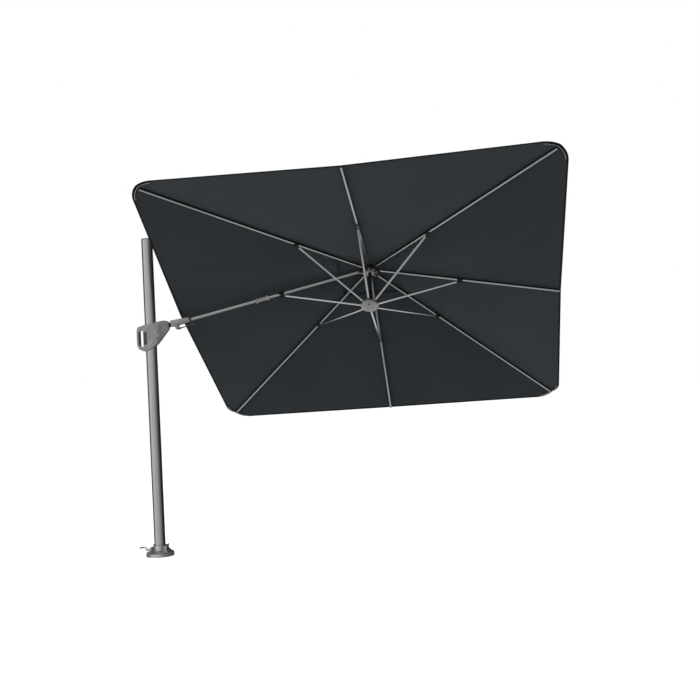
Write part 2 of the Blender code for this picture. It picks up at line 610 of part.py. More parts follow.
def strut(length):
    tube = rod((STRUT_END, 0, 0), (length - STRUT_END, 0, 0), STRUT_RADIUS)
    half = 0.0045
    blades = []
    for at, way in ((0.0, 1), (length, -1)):
        outline = [(at - way * EYE_RADIUS, 0), (at - way * 0.004, half), (at + way * 0.004, half + 0.001),
                   (at + way * (STRUT_END + 0.02), half), (at + way * (STRUT_END + 0.02), -half),
                   (at + way * 0.004, -half - 0.001), (at - way * 0.004, -half)]
        blades.append(prism(outline, -BLADE / 2, BLADE / 2))
    holes = [rod((at, -0.03, 0), (at, 0.03, 0), PIN_RADIUS + GAP, 12) for at in (0.0, length)]
    return cut(union(tube, *blades), *holes)


for azimuth, side in SECTORS.items():
    corner = is_corner(azimuth)
    piece("strut_" + side, strut(CORNER_STRUT if corner else LINK), SILVER, strut_frames[azimuth])
    if side == "inner":
        continue
    slope = CORNER_SLOPE if corner else RIB_SLOPE
    length = (rib_tip(azimuth) - PIVOT_RADIUS) / cos(slope)
    piece("rib_" + side, rib(slope, length), SILVER, rib_frames[azimuth])
    piece("rib_bracket_" + side, bracket(LINK_DROP + 0.005, RIB_WIDTH / 2 + GAP), BLACK,
          rib_frames[azimuth], shift(CORNER_LINK if corner else LINK))


# ---- canopy -----------------------------------------------------------------------------------------
def mid_tip(azimuth):
    """Middle of a canopy side, in the crown's frame."""
    if azimuth == 180:
        reach, fall = CANOPY_HALF + MAST_SIDE_OVERHANG, MAST_SIDE_DROP
    else:
        reach = CANOPY_HALF - MID_TIP_INSET
        fall = reach * tan(RIB_SLOPE)
    a = radians(azimuth)
    return Vector((reach * cos(a), reach * sin(a), -fall))


def corner_tip(azimuth):
    a = radians(azimuth)
    reach = sqrt(2) * CANOPY_HALF
    return Vector((reach * cos(a), reach * sin(a), -CORNER_DROP))


def plane_height(point, first, second):
    """Height at (x, y) of the flat panel through the crown and two rim points."""
    normal = first.cross(second)
    return -(normal.x * point[0] + normal.y * point[1]) / normal.z


def rounded_half_corner(mid, tip):
    """Rim from the point midway between mid and tip, round half of the rounded corner."""
    along = (tip - mid).normalized()
    diagonal = Vector((tip.x, tip.y, 0)).normalized()
    start = (mid + tip) / 2
    setback = CORNER_RADIUS
    centre = Vector((tip.x, tip.y, 0)) - diagonal * CORNER_RADIUS * sqrt(2)
    outward = (tip - along * setback) - centre
    outward = Vector((outward.x, outward.y, 0)).normalized() * CORNER_RADIUS
    target = diagonal * CORNER_RADIUS
    points = [start]
    for i in range(5):
        mixed = outward.lerp(target, i / 4).normalized() * CORNER_RADIUS
        points.append(centre + mixed)
    return [Vector((p.x, p.y, plane_height(p, mid, tip))) for p in points]


def half_panel(azimuth, way):
    """Rim points of one half of a sector, from its boundary to its rib."""
    if is_corner(azimuth):
        mid, tip = mid_tip((azimuth + 45 * way) % 360), corner_tip(azimuth)
        return rounded_half_corner(mid, tip)
    mid, tip = mid_tip(azimuth), corner_tip((azimuth + 45 * way) % 360)
    return [(mid + tip) / 2, mid]


def sector(azimuth):
    """Thin folded sheet over one rib: two flat half panels between the hole and the rim."""
    axis = radians(azimuth)
    radial = Vector((cos(axis), sin(axis), 0))
    bm = bmesh.new()
    rims = []
    for way in (-1, 1):
        rim = half_panel(azimuth, way)
        side = Vector((-sin(axis), cos(axis), 0)) * way
        rim[0] = rim[0] - side * 2 * GAP
        rims.append(rim)
    outer = rims[0] + rims[1][-2::-1]
    ends = [outer[0], outer[len(rims[0]) - 1], outer[-1]]
    inner = []
    for point in ends:
        flat = Vector((point.x, point.y, 0)).length
        inner.append(point * (CANOPY_HOLE / flat))
    if azimuth == 180:
        inner[1].z += ARM_RIDGE
    for k, way in ((0, -1), (2, 1)):
        inner[k] = inner[k] - Vector((-radial.y, radial.x, 0)) * way * GAP
    loops = []
    for lift in (CANOPY_LIFT, CANOPY_LIFT + CLOTH):
        up = Vector((0, 0, lift))
        loops.append(([bm.verts.new(p + up) for p in outer], [bm.verts.new(p + up) for p in inner]))
    split = len(rims[0]) - 1
    for (out_v, in_v), flip in zip(loops, (True, False)):
        for lo, hi, a, b in ((0, split, 0, 1), (split, len(outer) - 1, 1, 2)):
            for i in range(lo, hi):
                share = in_v[a] if i < (lo + hi) / 2 else in_v[b]
                tri = [out_v[i], out_v[i + 1], share]
                bm.faces.new(tri[::-1] if flip else tri)
            middle = next(i for i in range(lo, hi + 1) if i >= (lo + hi) / 2)
            tri = [in_v[a], out_v[middle], in_v[b]]
            bm.faces.new(tri[::-1] if flip else tri)
    rim_bottom = loops[0][0] + loops[0][1][::-1]
    rim_top = loops[1][0] + loops[1][1][::-1]
    count = len(rim_bottom)
    for i in range(count):
        j = (i + 1) % count
        bm.faces.new([rim_bottom[i], rim_bottom[j], rim_top[j], rim_top[i]])
    bmesh.ops.recalc_face_normals(bm, faces=bm.faces)
    return bm


def corner_bow(azimuth):
    """Curved spreader along the rounded corner, with a socket on the rib's tip."""
    tip = corner_tip(azimuth)
    diagonal = Vector((tip.x, tip.y, 0)).normalized()
    centre = diagonal * (sqrt(2) * (CANOPY_HALF - CORNER_RADIUS))
    radius = CORNER_RADIUS - 0.010
    start = radians(azimuth - 45)
    rings = []
    bm = bmesh.new()
    steps = 12
    for i in range(steps + 1):
        a = start + radians(90) * i / steps
        out = Vector((cos(a), sin(a), 0))
        mid = mid_tip((azimuth + (-45 if i < steps / 2 else 45)) % 360)
        ring = []
        for width, height in ((-0.005, -0.010), (0.005, -0.010), (0.005, 0.003), (-0.005, 0.003)):
            p = centre + out * (radius + width)
            ring.append(bm.verts.new((p.x, p.y, plane_height(p, mid, tip) + height)))
        rings.append(ring)
    for first, second in zip(rings, rings[1:]):
        for i in range(4):
            j = (i + 1) % 4
            bm.faces.new([first[i], first[j], second[j], second[i]])
    bm.faces.new(rings[0][::-1])
    bm.faces.new(rings[-1])
    bmesh.ops.recalc_face_normals(bm, faces=bm.faces)
    return bm


for azimuth, side in SECTORS.items():
    owner = rib_frames[azimuth]
    to_owner = owner.matrix_world.inverted() @ crown.matrix_world
    piece("canopy_" + side, sector(azimuth), CLOTH_SLATE, owner, to_owner)
    if is_corner(azimuth):
        piece("corner_bow_" + side, corner_bow(azimuth), SILVER, owner, to_owner)
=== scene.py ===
"""Looks of the cantilever parasol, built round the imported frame."""
import json
from math import atan2, cos, hypot, pi, radians, sin, tan

import bmesh
import bpy
from mathutils import Matrix, Vector


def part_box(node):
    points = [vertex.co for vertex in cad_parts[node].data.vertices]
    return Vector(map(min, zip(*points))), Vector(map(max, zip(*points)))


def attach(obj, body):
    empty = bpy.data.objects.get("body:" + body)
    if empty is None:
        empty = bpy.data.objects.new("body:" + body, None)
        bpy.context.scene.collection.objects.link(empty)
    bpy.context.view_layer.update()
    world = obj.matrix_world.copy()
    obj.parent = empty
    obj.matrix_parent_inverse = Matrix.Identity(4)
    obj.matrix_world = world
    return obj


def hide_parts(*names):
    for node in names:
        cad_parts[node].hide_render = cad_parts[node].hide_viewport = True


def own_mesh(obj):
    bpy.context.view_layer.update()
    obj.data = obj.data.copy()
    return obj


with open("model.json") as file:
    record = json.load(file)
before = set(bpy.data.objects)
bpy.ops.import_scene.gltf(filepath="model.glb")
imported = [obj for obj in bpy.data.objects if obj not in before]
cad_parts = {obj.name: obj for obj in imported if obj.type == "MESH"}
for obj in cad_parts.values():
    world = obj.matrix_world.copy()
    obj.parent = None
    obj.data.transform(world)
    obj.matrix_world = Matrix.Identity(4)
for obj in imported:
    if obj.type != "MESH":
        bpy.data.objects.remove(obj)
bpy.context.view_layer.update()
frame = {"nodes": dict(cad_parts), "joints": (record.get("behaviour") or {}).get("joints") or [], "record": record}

NODES = frame["nodes"]
JOINTS = {joint["name"]: joint for joint in frame["joints"]}

# ---- sizes that the looks share with the frame --------------------------------------------------
PIVOT_DROP = 0.0282             # rib pivots below the crown point
CANOPY_HALF = 1.5
CORNER_RADIUS = 0.18
CORNER_DROP = 0.364
MID_REACH = 1.48                # middle of a side, out from the pole
MID_DROP = MID_REACH * tan(radians(14.5))
MAST_SIDE_REACH = 1.549
MAST_SIDE_DROP = 0.335
SHEET_LIFT = 0.0128             # middle of the cloth above the ribs' centre lines
SHEET_THICKNESS = 0.0012
ARM_RIDGE = 0.0105              # the cloth is pushed up where it passes over the arm
CORNERS = (45, 135, 225, 315)
SECTORS = {0: "outer", 45: "outer_left", 90: "left", 135: "inner_left",
           180: "inner", 225: "inner_right", 270: "right", 315: "outer_right"}


# ---- frames of the moving pieces ----------------------------------------------------------------
def axes_at(origin, x_axis, y_axis):
    """Matrix with its origin and its X and Y axes given, Z completing them."""
    x = Vector(x_axis).normalized()
    y = Vector(y_axis)
    y = (y - x * x.dot(y)).normalized()
    z = x.cross(y)
    turn = Matrix((x, y, z)).transposed().to_4x4()
    return Matrix.Translation(origin) @ turn


def place(name):
    return Vector(JOINTS[name]["pos_m"])


def axis(name):
    return Vector(JOINTS[name]["axis"])


def crown_frame():
    near, far = place("hub_fold"), place("rib_fold_outer")
    turned = axes_at((near + far) / 2, far - near, axis("hub_fold"))
    return turned @ Matrix.Translation((0, 0, PIVOT_DROP))


CROWN = crown_frame()
ARM = axes_at(place("arm_roll"), axis("arm_roll"), axis("hub_fold"))
HEAD = axes_at(place("arm_lift"), axis("arm_roll"), Vector((0, 1, 0)))


def rib_frame(side):
    start = "hub_fold" if side == "inner" else "rib_fold_" + side
    strut = place("strut_fold_" + side)
    return axes_at(place(start), strut - place(start), axis("strut_fold_" + side))


def strut_frame(side):
    """Strut's own frame: X from the rib to the runner."""
    box = local_points("strut_" + side, rib_frame(side))
    start = place("strut_fold_" + side)
    towards = CROWN @ Vector((0, 0, min(p.z for p in local_points("runner", CROWN))))
    across = axis("strut_fold_" + side)
    flat = (towards - start) - across * across.dot(towards - start)
    far = max(NODES["strut_" + side].data.vertices, key=lambda v: (v.co - start).dot(flat))
    middle = far.co - across * across.dot(far.co - start)
    return axes_at(start, middle - start, across), (middle - start).length - 0.006


def local_points(node, matrix):
    back = matrix.inverted()
    return [back @ v.co for v in NODES[node].data.vertices]


# ---- materials ----------------------------------------------------------------------------------
def new_material(name, roughness, metallic=0.0, specular=0.5):
    mat = bpy.data.materials.new(name)
    mat.use_nodes = True
    shader = mat.node_tree.nodes["Principled BSDF"]
    shader.inputs["Roughness"].default_value = roughness
    shader.inputs["Metallic"].default_value = metallic
    shader.inputs["Specular IOR Level"].default_value = specular
    return mat, mat.node_tree, shader


def add(tree, kind, **settings):
    node = tree.nodes.new(kind)
    for key, value in settings.items():
        if key in node.inputs:
            node.inputs[key].default_value = value
        else:
            setattr(node, key, value)
    return node


def link(tree, start, output, end, socket):
    tree.links.new(start.outputs[output], end.inputs[socket])


def object_coordinates(tree, scale=(1, 1, 1)):
    coordinates = add(tree, "ShaderNodeTexCoord")
    mapping = add(tree, "ShaderNodeMapping")
    mapping.inputs["Scale"].default_value = scale
    link(tree, coordinates, "Object", mapping, "Vector")
    return mapping


def noise(tree, vector, scale, detail=3.0, output="Vector"):
    texture = add(tree, "ShaderNodeTexNoise")
    texture.inputs["Scale"].default_value = scale
    texture.inputs["Detail"].default_value = detail
    link(tree, vector, output, texture, "Vector")
    return texture


def ramp(tree, source, output, low, high, positions=(0.3, 0.7)):
    colours = add(tree, "ShaderNodeValToRGB")
    colours.color_ramp.elements[0].position = positions[0]
    colours.color_ramp.elements[1].position = positions[1]
    colours.color_ramp.elements[0].color = (*low, 1)
    colours.color_ramp.elements[1].color = (*high, 1)
    link(tree, source, output, colours, "Fac")
    return colours


def bump(tree, shader, source, output, strength, distance):
    node = add(tree, "ShaderNodeBump")
    node.inputs["Strength"].default_value = strength
    node.inputs["Distance"].default_value = distance
    link(tree, source, output, node, "Height")
    link(tree, node, "Normal", shader, "Normal")


def map_range(tree, value, span, onto=(0.0, 1.0)):
    node = add(tree, "ShaderNodeMapRange")
    for name, number in zip(("From Min", "From Max", "To Min", "To Max"), (*span, *onto)):
        node.inputs[name].default_value = number
    tree.links.new(value, node.inputs["Value"])
    return node


def roughness_from(tree, shader, source, output, low, high):
    span = map_range(tree, source.outputs[output], (0.0, 1.0), (low, high))
    link(tree, span, "Result", shader, "Roughness")


THREAD_HALF = 0.0004            # half width of a sewing thread
STITCH_SHARE = 0.7              # visible share of a stitch's pitch
WAVE_PER_METRE = 0.314          # wave texture scale that gives one band per metre


def stitches(mat, rows, pitch=0.0042, thread=(0.030, 0.034, 0.037)):
    """Rows of machine stitches, at distances across the piece's own map."""
    tree = mat.node_tree
    colour = tree.nodes["Principled BSDF"].inputs["Base Color"]
    under = colour.links[0].from_socket
    uv = add(tree, "ShaderNodeUVMap", uv_map="cloth")
    split = add(tree, "ShaderNodeSeparateXYZ")
    link(tree, uv, "UV", split, "Vector")

    def math(operation, first, second=0.0):
        node = add(tree, "ShaderNodeMath", operation=operation)
        for socket, value in zip(node.inputs, (first, second)):
            if isinstance(value, float):
                socket.default_value = value
            else:
                tree.links.new(value, socket)
        return node.outputs["Value"]

    along = math("FRACT", math("MULTIPLY", split.outputs["X"], 1 / pitch))
    mask = math("LESS_THAN", along, STITCH_SHARE)
    lines = 0.0
    for row in rows:
        off = math("ABSOLUTE", math("SUBTRACT", split.outputs["Y"], float(row)))
        lines = math("MAXIMUM", math("LESS_THAN", off, THREAD_HALF), lines)
    mix = add(tree, "ShaderNodeMix", data_type="RGBA")
    mix.inputs["B"].default_value = (*thread, 1)
    tree.links.new(math("MULTIPLY", mask, lines), mix.inputs["Factor"])
    tree.links.new(under, mix.inputs["A"])
    tree.links.new(mix.outputs["Result"], colour)


def canopy_cloth(name, low, high, thread=0.0011):
    """Dyed acrylic canopy cloth: plain weave on its own UV map, in metres, and soft cloudy tone."""
    mat, tree, shader = new_material(name, 0.88, specular=0.25)
    shader.inputs["Sheen Weight"].default_value = 0.12
    shader.inputs["Sheen Roughness"].default_value = 0.6
    uv = add(tree, "ShaderNodeUVMap", uv_map="cloth")
    threads = []
    for direction in ("X", "Y"):
        wave = add(tree, "ShaderNodeTexWave", bands_direction=direction)
        wave.inputs["Scale"].default_value = WAVE_PER_METRE / thread
        wave.inputs["Distortion"].default_value = 0.4
        wave.inputs["Detail"].default_value = 1.0
        link(tree, uv, "UV", wave, "Vector")
        threads.append(wave)
    weave = add(tree, "ShaderNodeMath", operation="MULTIPLY")
    tree.links.new(threads[0].outputs["Fac"], weave.inputs[0])
    tree.links.new(threads[1].outputs["Fac"], weave.inputs[1])
    cloudy = noise(tree, object_coordinates(tree), 2.2, 4.0)
    tone = ramp(tree, cloudy, "Fac", low, high)
    speckle = noise(tree, object_coordinates(tree), 420.0, 2.0)
    blend = add(tree, "ShaderNodeMix", data_type="RGBA", blend_type="MULTIPLY")
    blend.inputs["Factor"].default_value = 0.22
    tree.links.new(tone.outputs["Color"], blend.inputs["A"])
    tree.links.new(speckle.outputs["Color"], blend.inputs["B"])
    tree.links.new(blend.outputs["Result"], shader.inputs["Base Color"])
    bump(tree, shader, weave, "Value", 0.35, 0.0004)
    return mat


def webbing(name, colour):
    """Black woven tape of hems and rib pockets; the rib pockets' black is partly painted shade."""
    mat, tree, shader = new_material(name, 0.82, specular=0.3)
    fine = noise(tree, object_coordinates(tree), 600.0, 2.0)
    darker = tuple(c * 0.6 for c in colour)
    tone = ramp(tree, fine, "Fac", darker, colour)
    link(tree, tone, "Color", shader, "Base Color")
    bump(tree, shader, fine, "Fac", 0.5, 0.0004)
    return mat


def painted_tube(name, low, high, grain=(1, 1, 1), rough=(0.34, 0.46), metallic=0.75):
    """Aluminium with a satin coat: faint drawn lines and slightly uneven gloss."""
    mat, tree, shader = new_material(name, 0.4, metallic)
    lines = noise(tree, object_coordinates(tree, grain), 90.0, 4.0)
    tone = ramp(tree, lines, "Fac", low, high)
    link(tree, tone, "Color", shader, "Base Color")
    patches = noise(tree, object_coordinates(tree), 14.0, 3.0)
    roughness_from(tree, shader, patches, "Fac", *rough)
    bump(tree, shader, lines, "Fac", 0.02, 0.0002)
    return mat


def casting(name, low, high, rough=(0.45, 0.62), metallic=0.45):
    """Powder-coated die casting: fine orange-peel grain, edges rubbed a little brighter."""
    mat, tree, shader = new_material(name, 0.5, metallic)
    grain = noise(tree, object_coordinates(tree), 900.0, 2.0)
    broad = noise(tree, object_coordinates(tree), 22.0, 4.0)
    tone = ramp(tree, broad, "Fac", low, high)
    edges = add(tree, "ShaderNodeNewGeometry")
    worn = ramp(tree, edges, "Pointiness", (0, 0, 0), (0.18, 0.18, 0.18), (0.52, 0.62))
    mix = add(tree, "ShaderNodeMix", data_type="RGBA", blend_type="ADD")
    mix.inputs["Factor"].default_value = 0.6
    tree.links.new(tone.outputs["Color"], mix.inputs["A"])
    tree.links.new(worn.outputs["Color"], mix.inputs["B"])
    tree.links.new(mix.outputs["Result"], shader.inputs["Base Color"])
    roughness_from(tree, shader, grain, "Fac", *rough)
    bump(tree, shader, grain, "Fac", 0.18, 0.0003)
    return mat


def moulded(name, colour, rough=(0.42, 0.6)):
    """Moulded nylon: fine spark-eroded texture."""
    mat, tree, shader = new_material(name, 0.5, specular=0.4)
    grain = noise(tree, object_coordinates(tree), 1100.0, 2.0)
    lighter = tuple(c * 1.5 for c in colour)
    tone = ramp(tree, grain, "Fac", colour, lighter)
    link(tree, tone, "Color", shader, "Base Color")
    roughness_from(tree, shader, grain, "Fac", *rough)
    bump(tree, shader, grain, "Fac", 0.2, 0.0003)
    return mat


CLOTH = canopy_cloth("canopy_cloth", (0.0150, 0.0226, 0.0280), (0.0184, 0.0272, 0.0332))
VENT_CLOTH = canopy_cloth("vent_cloth", (0.0150, 0.0226, 0.0280), (0.0184, 0.0272, 0.0332))
SEAM_CLOTH = canopy_cloth("seam_cloth", (0.0142, 0.0214, 0.0265), (0.0176, 0.0260, 0.0318))
stitches(SEAM_CLOTH, (-0.0048, 0.0048))
# The rib pockets' black tape is partly painted shade: the contact shadow line between each rib and the cloth.
POCKET_SHADE_TAPE = webbing("black_tape_painted_shade", (0.0085, 0.0090, 0.0095))
HEM_TAPE = webbing("hem_tape", (0.0085, 0.0090, 0.0095))
stitches(HEM_TAPE, (0.0022,))
MAST_METAL = painted_tube("mast_satin", (0.54, 0.54, 0.545), (0.60, 0.60, 0.605), (1, 1, 0.02),
                          (0.27, 0.34), 1.0)
TUBE = painted_tube("silver_coat", (0.58, 0.585, 0.59), (0.68, 0.685, 0.69), rough=(0.20, 0.28),
                    metallic=1.0)
# The struts' coat is the ribs' silver coat painted lighter: a painted highlight for the light that the struts'
# undersides catch.
STRUT_COAT_PAINTED_LIGHT = painted_tube("strut_silver_coat_painted_highlight", (0.78, 0.785, 0.79), (0.88, 0.885, 0.89),
                          rough=(0.20, 0.28), metallic=1.0)
CAST = casting("cast_grey_coat", (0.32, 0.323, 0.327), (0.41, 0.414, 0.418), (0.33, 0.45), 0.8)
CAST_LIGHT = casting("cast_light_coat", (0.46, 0.46, 0.455), (0.54, 0.54, 0.535), (0.34, 0.46), 0.8)
CAST_DARK = casting("cast_dark_coat", (0.030, 0.0302, 0.031), (0.046, 0.0462, 0.047),
                    (0.36, 0.5), 0.5)
BASE_METAL = casting("flange_satin", (0.52, 0.525, 0.53), (0.62, 0.625, 0.63), (0.20, 0.30), 0.72)
RUBBER = moulded("black_rubber", (0.010, 0.0102, 0.0105), (0.7, 0.85))
PLASTIC = moulded("black_nylon", (0.011, 0.0115, 0.012))
PIN_STEEL = painted_tube("pin_steel", (0.42, 0.42, 0.43), (0.52, 0.52, 0.53), rough=(0.2, 0.3),
                         metallic=1.0)


# ---- mesh helpers -------------------------------------------------------------------------------
BAR_END_EDGE = 0.0008
CASTING_SHARP = 30.0            # degrees; sharper edges of castings get rounded


def finish(name, bm, material, body, place_at=None, smooth=35.0, replaces=()):
    """Turns a bmesh into a piece that rides on a body, with its place in its mesh."""
    if place_at is not None:
        bmesh.ops.transform(bm, matrix=place_at, verts=bm.verts)
    mesh = bpy.data.meshes.new(name)
    bm.to_mesh(mesh)
    bm.free()
    obj = bpy.data.objects.new(name, mesh)
    bpy.context.scene.collection.objects.link(obj)
    mesh.materials.append(material)
    mesh.shade_smooth()
    mesh.set_sharp_from_angle(angle=radians(smooth))
    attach(obj, body)
    if replaces:
        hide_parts(*replaces)
    return obj


def thicken(obj, thickness, offset=0.0):
    modifier = obj.modifiers.new("thickness", "SOLIDIFY")
    modifier.thickness = thickness
    modifier.offset = offset
    return obj


def apply_modifiers(obj):
    graph = bpy.context.evaluated_depsgraph_get()
    mesh = bpy.data.meshes.new_from_object(obj.evaluated_get(graph))
    obj.modifiers.clear()
    old = obj.data
    obj.data = mesh
    bpy.data.meshes.remove(old)
    mesh.shade_smooth()
    mesh.set_sharp_from_angle(angle=radians(35))
    return obj


def round_edges(bm, edges, offset, segments):
    bmesh.ops.bevel(bm, geom=edges, offset=offset, segments=segments, profile=0.5,
                    affect="EDGES", material=-1)


def rounded_bar(length, width, height, radius, start=0.0, segments=3):
    """Bar along X, centred on Y and Z, with its long edges and ends rounded."""
    bm = bmesh.new()
    middle = Matrix.Translation((start + length / 2, 0, 0))
    bmesh.ops.create_cube(bm, size=1.0, matrix=middle @ Matrix.Diagonal((length, width, height, 1)))
    long_edges = [e for e in bm.edges if abs(e.verts[0].co.x - e.verts[1].co.x) > length / 2]
    round_edges(bm, long_edges, radius, segments)
    rims = [e for e in bm.edges if abs(e.verts[0].co.x - e.verts[1].co.x) < 1e-7
            and len(e.link_faces) == 2
            and any(abs(abs(f.normal.x) - 1) < 0.01 for f in e.link_faces)]
    round_edges(bm, rims, BAR_END_EDGE, 2)
    return bm


def turned(profile, segments=64):
    """Solid of revolution about Z from (radius, z) points."""
    bm = bmesh.new()
    verts = [bm.verts.new((r, 0.0, z)) for r, z in profile]
    edges = [bm.edges.new(pair) for pair in zip(verts, verts[1:])]
    bmesh.ops.spin(bm, geom=verts + edges, axis=(0, 0, 1), cent=(0, 0, 0), angle=2 * pi,
                   steps=segments, use_merge=True)
    bmesh.ops.remove_doubles(bm, verts=bm.verts, dist=1e-6)
    bmesh.ops.recalc_face_normals(bm, faces=bm.faces)
    return bm


def round_rod(start, end, radius, segments=32, edge=0.0006):
    """Rod between two points with its end edges rounded."""
    start, end = Vector(start), Vector(end)
    along = end - start
    turn = along.to_track_quat("Z", "Y").to_matrix().to_4x4()
    bm = bmesh.new()
    bmesh.ops.create_cone(bm, cap_ends=True, segments=segments, radius1=radius, radius2=radius,
                          depth=along.length, matrix=Matrix.Translation((start + end) / 2) @ turn)
    rims = [e for e in bm.edges if any(len(f.verts) > 4 for f in e.link_faces)]
    round_edges(bm, rims, edge, 2)
    return bm


def softened(node, name, material, body, width):
    """A cast or moulded frame node copied and given rounded edges; it stands for the node."""
    mesh = NODES[node].data.copy()
    bm = bmesh.new()
    bm.from_mesh(mesh)
    bpy.data.meshes.remove(mesh)
    bmesh.ops.remove_doubles(bm, verts=bm.verts, dist=2e-5)
    bmesh.ops.dissolve_limit(bm, angle_limit=radians(1.0), verts=bm.verts, edges=bm.edges)
    obj = finish(name, bm, material, body, smooth=CASTING_SHARP, replaces=(node,))
    obj.data.materials.clear()
    obj.data.materials.append(material)
    modifier = obj.modifiers.new("edges", "BEVEL")
    modifier.width = width
    modifier.segments = 2
    modifier.limit_method = "ANGLE"
    modifier.angle_limit = radians(CASTING_SHARP)
    modifier.harden_normals = True


def body_of(node):
    for body, members in frame["record"]["behaviour"]["bodies"].items():
        if node in members:
            return body
    raise KeyError(node)


# ---- canopy surface -----------------------------------------------------------------------------
def corner_point(azimuth):
    a = radians(azimuth)
    reach = CANOPY_HALF * 2 ** 0.5
    return Vector((reach * cos(a), reach * sin(a), -CORNER_DROP))


def middle_point(azimuth):
    a = radians(azimuth)
    reach, drop = MID_REACH, MID_DROP
    if azimuth % 360 == 180:
        reach, drop = MAST_SIDE_REACH, MAST_SIDE_DROP
    return Vector((reach * cos(a), reach * sin(a), -drop))


def ray_to_line(angle, first, second):
    """Where the ray at an azimuth meets the line between two points, seen along the pole."""
    d = Vector((cos(angle), sin(angle)))
    e = Vector((second.x - first.x, second.y - first.y))
    share = (first.x * d.y - first.y * d.x) / (e.y * d.x - e.x * d.y)
    return first.lerp(second, share)


def rim_point(angle):
    """Rim of the canopy at an azimuth: straight sides, rounded corners."""
    turn = (angle / (pi / 4)) % 8
    eighth = int(turn) % 8
    if eighth % 2 == 0:
        mid, tip = middle_point(45 * eighth), corner_point(45 * (eighth + 1))
    else:
        tip, mid = corner_point(45 * eighth), middle_point((45 * (eighth + 1)) % 360)
    point = ray_to_line(angle, mid, tip)
    flat = hypot(point.x, point.y)
    centre = Vector((tip.x, tip.y, 0)) * (1 - CORNER_RADIUS / CANOPY_HALF)
    arc_end = centre + Vector((mid.x, mid.y, 0)).normalized() * CORNER_RADIUS
    d = Vector((cos(angle), sin(angle), 0))
    in_corner = d.cross(arc_end).z * arc_end.cross(tip).z < 0
    if in_corner:
        along = d.dot(centre)
        reach = along + (CORNER_RADIUS ** 2 - centre.length_squared + along * along) ** 0.5
    else:
        straight = ray_to_line(angle, mid, arc_end)
        reach = hypot(straight.x, straight.y)
    return point * (reach / flat)


def boundary(azimuth, way):
    """Azimuth at which a sector meets its neighbour."""
    if azimuth % 90 == 0:
        mid, tip = middle_point(azimuth), corner_point((azimuth + 45 * way) % 360)
    else:
        tip, mid = corner_point(azimuth), middle_point((azimuth + 45 * way) % 360)
    half = (mid + tip) / 2
    angle = atan2(half.y, half.x)
    base = radians(azimuth)
    return base + ((angle - base + pi) % (2 * pi) - pi)


def smooth_step(value):
    value = max(0.0, min(1.0, value))
    return value * value * (3 - 2 * value)


def sheet_point(azimuth, across, share, sag=0.010):
    """Point on a sector's cloth: across is -1 to 1 between its boundaries, share is pole to rim."""
    base = radians(azimuth)
    edge = boundary(azimuth, 1 if across > 0 else -1)
    fullness = abs(across)
    point = rim_point(base + (edge - base) * fullness) * share
    droop = sag * sin(pi * min(1.0, share)) * (1 - cos(pi * fullness)) / 2
    ridge = 0.0
    if azimuth == 180:
        ridge = ARM_RIDGE * (1 - share) * (0.5 + 0.5 * cos(pi * min(1.0, fullness)))
    point.z += SHEET_LIFT + ridge - droop
    return point


def cloth_map(bm, azimuth):
    """Lays the cloth's own map on a panel, in metres along and across its rib."""
    uv = bm.loops.layers.uv.new("cloth")
    base = radians(azimuth)
    radial, side = Vector((cos(base), sin(base), 0)), Vector((-sin(base), cos(base), 0))
    for face in bm.faces:
        for loop in face.loops:
            loop[uv].uv = (loop.vert.co.dot(radial), loop.vert.co.dot(side))
    bmesh.ops.recalc_face_normals(bm, faces=bm.faces)
    if sum(face.normal.z * face.calc_area() for face in bm.faces) < 0:
        bmesh.ops.reverse_faces(bm, faces=bm.faces)
    return bm


def panel(azimuth, spread, rings, columns, place_of):
    """Curved piece of cloth: spread is its lowest and highest place across the sector."""
    bm = bmesh.new()
    bmesh.ops.create_grid(bm, x_segments=rings, y_segments=columns, size=1.0)
    low, high = spread
    for vert in bm.verts:
        along = (vert.co.x + 1) / 2
        across = low + (high - low) * (vert.co.y + 1) / 2
        vert.co = place_of(azimuth, across, along)
    return cloth_map(bm, azimuth)


def main_place(azimuth, across, along):
    return sheet_point(azimuth, across, OPENING + (1 - OPENING) * along)


def vent_place(azimuth, across, along):
    """The vent starts round the knob's stem, high under the clamp plate, and ends square."""
    outer = sheet_point(azimuth, across, VENT_REACH, VENT_SAG)
    flat = Vector((outer.x, outer.y, 0)).length
    share = VENT_REACH * (VENT_STEM + (flat - VENT_STEM) * along) / flat
    point = sheet_point(azimuth, across, share, VENT_SAG)
    point.z += VENT_LIFT + (VENT_PEAK - VENT_LIFT) * (1 - along) ** 2
    return point


def seam_place(azimuth, across, along):
    """The felled seam over a rib: a narrow strip on top of the cloth."""
    share = OPENING + (SEAM_END - OPENING) * along
    base = radians(azimuth)
    rim = rim_point(base)
    wide = abs(boundary(azimuth, 1 if across > 0 else -1) - base)
    spread = across * SEAM_HALF / (hypot(rim.x, rim.y) * share * wide)
    point = sheet_point(azimuth, spread, share)
    point.z += SEAM_LIFT
    return point


def flat_size(bm):
    """Width across and length of a cloth piece, and its area, as cut."""
    layer = bm.loops.layers.uv["cloth"]
    us = [loop[layer].uv.x for face in bm.faces for loop in face.loops]
    vs = [loop[layer].uv.y for face in bm.faces for loop in face.loops]
    length, width = (max(us) - min(us)) / cos(CLOTH_SLOPE), max(vs) - min(vs)
    return round(width, 3), round(length, 3), round(sum(face.calc_area() for face in bm.faces), 3)


def folds_up(obj):
    """Gives the piece its own copy of its mesh."""
    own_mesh(obj)


